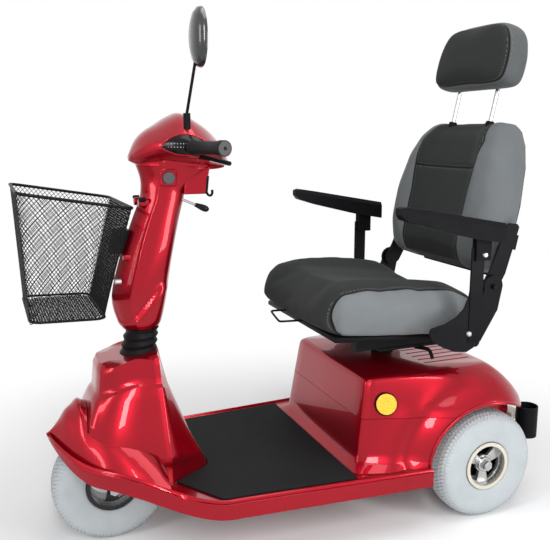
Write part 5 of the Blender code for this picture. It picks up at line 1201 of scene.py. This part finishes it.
for side in (1.0, -1.0):
    line = np.array([on_back(up, front, side * RECLINER_Y) for up, front in RECLINER])
    inner = line - (0.0, side * RECLINER_T, 0.0)
    bar = skin("recliner", np.stack([line, inner]), (False, True), True)
    rounded(show("recliner_bar", bar, steel_black, "backrest"), 0.0012)


# Seat, back and head cushions: foam under charcoal cloth in the middle and paler grey vinyl
# at the sides. The forms swell by cloth simulation, and are then drawn in along the seams,
# where a double row of stitches and dark piping hold the panels together.
CLOTH_VOXEL = 0.005
PIPING = 0.0022


def pick(which, one, other):
    """The smaller or larger of two arrays or of two values in a material."""
    if isinstance(one, Field):
        return one.math("MINIMUM" if which == "low" else "MAXIMUM", other)
    return np.minimum(one, other) if which == "low" else np.maximum(one, other)


def up_back(x, z):
    """Distance up the leaning back from its hinge and distance in front of it: the place
    turned back by the lean."""
    x = x - (AXLE_X + HINGE[0])
    z = z - HINGE[1]
    return z * math.cos(LEAN) - x * math.sin(LEAN), x * math.cos(LEAN) + z * math.sin(LEAN)


def seat_panels(x, y, z):
    """How far outside the side seam, which draws in a little at the front lobe, and how far
    from it."""
    t = limit((x - (AXLE_X + 0.300)) * 10.0)
    outside = abs(y) - (0.196 - 0.010 * t)
    return outside, abs(outside)


def back_panels(x, y, z):
    """How far outside the side seams of the back, and how far from them or from the seam
    across the middle panel."""
    up, front = up_back(x, z)
    half = 0.121 + 0.009 * limit((up - 0.20) * 8.0)
    outside = abs(y) - half + 0.026 * limit((up - 0.33) * 20.0)
    return outside, pick("low", abs(outside), pick("high", abs(up - 0.263), outside))


def head_panels(x, y, z):
    """How far behind the seam round the headrest's face."""
    up, front = up_back(x, z)
    outside = 0.034 - front
    return outside, abs(outside)


def cloth_finish(name, panels, pale):
    """Charcoal cloth inside the seams and grey vinyl outside them, with piping and stitches."""
    cloth = Finish(name, {"Metallic": 0.0, "IOR": 1.45, "Sheen Weight": 0.04,
                          "Specular IOR Level": 0.12})
    outside, away = panels(cloth.x, cloth.y, cloth.z)
    outer = cloth.step(outside, -0.0008, 0.0008)
    thread = cloth.noise(900.0, 2.0)
    hide = cloth.cells(520.0)
    worn = cloth.noise(11.0, 3.0)
    dark = cloth.mix((0.017, 0.018, 0.018), (0.036, 0.038, 0.037), thread * 0.6 + worn * 0.4)
    # The vinyl's tone, pale, is set per cushion and holds painted shade.
    light = cloth.mix((0.85 * pale, 0.92 * pale, 0.95 * pale), (1.10 * pale, 1.18 * pale,
                                                                1.21 * pale), worn)
    panel = cloth.mix(dark, light, outer)
    seam = cloth.step(away, PIPING, 0.6 * PIPING)
    run = ((cloth.x + cloth.y + cloth.z) * 900.0).math("SINE")
    stitch = cloth.step(abs(away - 0.0048), 0.0009, 0.0004) * cloth.step(run, -0.3, 0.1)
    panel = cloth.mix(panel, (0.20, 0.20, 0.20), stitch * 0.35)
    cloth.vary("Base Color", cloth.mix(panel, (0.008, 0.008, 0.009), seam))
    cloth.vary("Roughness", 0.86 - outer * 0.36 + hide * 0.1)
    cloth.relief(thread * (1.0 - outer) + hide * outer * 0.6 + stitch * 1.5, 0.0004, 0.8)
    return cloth


def stuffed(name, finish, force, cap, held, panels, depth, calming):
    """A CAD cushion's welded copy, remeshed in small voxels and blown up as cloth. No point
    moves further than the cap, and points that held marks, where it rests, stay put. The folds
    are calmed, and points near a seam sink by the depth times a bell curve of their distance."""
    piece = show(name + "_stuffed", merged(name), finish, home[name], 180.0)
    voxels = piece.modifiers.new("voxels", "REMESH")
    voxels.mode = "VOXEL"
    voxels.voxel_size = CLOTH_VOXEL
    soften = piece.modifiers.new("soften", "SMOOTH")
    soften.factor = 0.5
    soften.iterations = 14
    graph = bpy.context.evaluated_depsgraph_get()
    fine = bpy.data.meshes.new_from_object(piece.evaluated_get(graph))
    piece.modifiers.clear()
    piece.data = fine
    fine.materials.clear()
    fine.materials.append(finish.material)
    fine.shade_smooth()
    start, normals = vertex_data(fine)
    free = ~held(start)
    start = start - normals * free[:, None] * 0.0010
    fine.vertices.foreach_set("co", start.ravel())
    group = piece.vertex_groups.new(name="held")
    group.add(np.nonzero(~free)[0].tolist(), 1.0, "REPLACE")
    cloth = piece.modifiers.new("stuffing", "CLOTH")
    cloth.settings.vertex_group_mass = "held"
    cloth.settings.use_pressure = True
    cloth.settings.uniform_pressure_force = force
    cloth.settings.effector_weights.gravity = 0.0
    cloth.point_cache.frame_start = 1
    cloth.point_cache.frame_end = 20
    for step in range(1, 21):
        bpy.context.scene.frame_set(step)
    graph = bpy.context.evaluated_depsgraph_get()
    blown = bpy.data.meshes.new_from_object(piece.evaluated_get(graph))
    move = vertex_data(blown)[0] - start
    size = np.linalg.norm(move, axis=1, keepdims=True)
    start = start + move * np.minimum(1.0, cap / np.maximum(size, 1e-9))
    piece.modifiers.clear()
    fine.vertices.foreach_set("co", start.ravel())
    bpy.data.meshes.remove(blown)
    bpy.context.scene.frame_set(1)
    calm = piece.modifiers.new("calm", "SMOOTH")
    calm.factor = 0.5
    calm.iterations = calming
    graph = bpy.context.evaluated_depsgraph_get()
    taut = bpy.data.meshes.new_from_object(piece.evaluated_get(graph))
    fine.vertices.foreach_set("co", vertex_data(taut)[0].ravel())
    bpy.data.meshes.remove(taut)
    piece.modifiers.clear()
    fine.update()
    start, normals = vertex_data(fine)
    away = panels(*start.T)[1]
    sink = depth * np.exp(-(away / 0.0055) ** 2) * ~held(start)
    fine.vertices.foreach_set("co", (start - normals * sink[:, None]).ravel())
    fine.update()
    return piece


seat_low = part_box("seat_cushion")[0][2]
# The grey vinyl's tone is set per cushion, palest on the seat and darkest on the headrest: painted
# shade on one vinyl.
for part, panels, pale, force, cap, depth, calming, held in (
        ("seat_cushion", seat_panels, 0.155, 4.0, 0.014, 0.0030, 22,
         lambda p: p[:, 2] < seat_low + 0.028),
        ("back_cushion", back_panels, 0.125, 4.0, 0.012, 0.0035, 22,
         lambda p: up_back(p[:, 0], p[:, 2])[1] < -0.050),
        ("headrest_cushion", head_panels, 0.090, 1.2, 0.005, 0.0022, 60,
         lambda p: p[:, 2] < 0.0)):
    cushion = stuffed(part, cloth_finish(part + "_cloth", panels, pale), force, cap, held,
                      panels, depth, calming)
    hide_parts(part)
    smooth = cushion.modifiers.new("smooth", "SUBSURF")
    smooth.levels = 1
    smooth.render_levels = 1
chrome = mottled("chrome", {"Metallic": 1.0}, (0.40, 0.40, 0.41), (0.50, 0.50, 0.51),
                 (40.0, 2.0), (0.14, 0.05), (200.0, 2.0))
dressed("headrest_posts", chrome, 0.0)


POST_Y = 0.076
COLLAR = ((0.0, 0.0), (0.0, 0.0115), (0.012, 0.0115), (0.018, 0.0095), (0.018, 0.0))
for side in (1.0, -1.0):
    foot, top = (on_back(up, -0.006, side * POST_Y) for up in (0.368, 0.388))
    show("post_collar", spun("post_collar", foot, top, COLLAR, 28), black_plastic, "backrest",
         40.0)


# Armrest pads: black self-skinned foam moulded round steel brackets, tapering to the front;
# each turns on its upright's pivot bolt.
foam_skin = mottled("foam_skin", DULL, (0.002, 0.002, 0.003), (0.007, 0.007, 0.008),
                    (30.0, 3.0), (0.46, 0.2), (400.0, 2.0))
foam_skin.relief(foam_skin.noise(600.0, 2.0), 0.0002)
for part in ("arm_pad_left", "arm_pad_right"):
    dressed(part, foam_skin, 0.005, 3, 50.0)


# Studio: a pale floor that fades to white round the object, three tall soft lamps whose
# reflections run down the paint, a broad one above, and the camera where the photograph was
# taken from. The fade is by distance over the floor.
floor_at = np.array([[(-7.0, -7.0, 0.0), (-7.0, 7.0, 0.0)], [(7.0, -7.0, 0.0), (7.0, 7.0, 0.0)]])
paper = Finish("studio_paper", {"Metallic": 0.0, "Roughness": 0.9, "Specular IOR Level": 0.0})
paper.vary("Base Color", paper.mix((0.90, 0.90, 0.90), (0.92, 0.92, 0.92), paper.noise(3.0)))
away = (paper.x * paper.x + paper.y * paper.y).math("SQRT")
white = paper.node("Emission", {}, {"Color": (1.0, 1.0, 1.0), "Strength": 1.0})
faded = paper.node("MixShader", {}, {
    0: paper.step(away, 0.50, 1.35) * paper.background_rays(),
    1: Field(paper.tree, paper.shader.outputs[0]), 2: white})
paper.feed(paper.tree.nodes["Material Output"].inputs["Surface"], faded)
ground = skin("studio_floor", floor_at)
ground.materials.append(paper.material)
studio_floor = bpy.data.objects.new("studio_floor", ground)
bpy.context.scene.collection.objects.link(studio_floor)

world = bpy.data.worlds.new("studio")
bpy.context.scene.world = world
world.use_nodes = True
sky = Nodes(world.node_tree)
sky.tree.nodes.remove(sky.tree.nodes["Background"])
lit = sky.node("Background", {}, {"Color": (0.95, 0.97, 1.0), "Strength": 0.30})
seen = sky.node("Background", {}, {"Color": (1.0, 1.0, 1.0), "Strength": 1.0})
sky.feed(sky.tree.nodes["World Output"].inputs["Surface"],
         sky.node("MixShader", {}, {0: sky.background_rays(), 1: lit, 2: seen}))

for title, place, size, power in (("left_softbox", (0.75, 2.3, 1.5), (0.36, 1.7), 40.0),
                                  ("rear_strip", (-1.25, 1.75, 0.85), (0.45, 1.5), 20.0),
                                  ("front_softbox", (2.6, 0.9, 1.5), (0.5, 1.6), 20.0),
                                  ("top_softbox", (-0.2, 0.3, 2.9), (1.8, 1.8), 34.0)):
    lamp = bpy.data.lights.new(title, "AREA")
    lamp.shape = "RECTANGLE"
    lamp.size, lamp.size_y = size
    lamp.energy = power
    holder = bpy.data.objects.new(title, lamp)
    holder.location = place
    holder.rotation_euler = (Vector((0.0, 0.0, 0.45)) - Vector(place)).to_track_quat(
        "-Z", "Y").to_euler()
    bpy.context.scene.collection.objects.link(holder)

lens = bpy.data.cameras.new("photographer")
lens.lens = 47.70
lens.sensor_width = 36.0
camera = bpy.data.objects.new("photographer", lens)
camera.location = (1.0668 + AXLE_X, 1.5708, 0.9023)
camera.rotation_euler = [math.radians(a) for a in (79.41, 0.0, 158.07)]
bpy.context.scene.collection.objects.link(camera)
bpy.context.scene.camera = camera
bpy.context.scene.view_settings.view_transform = "Standard"
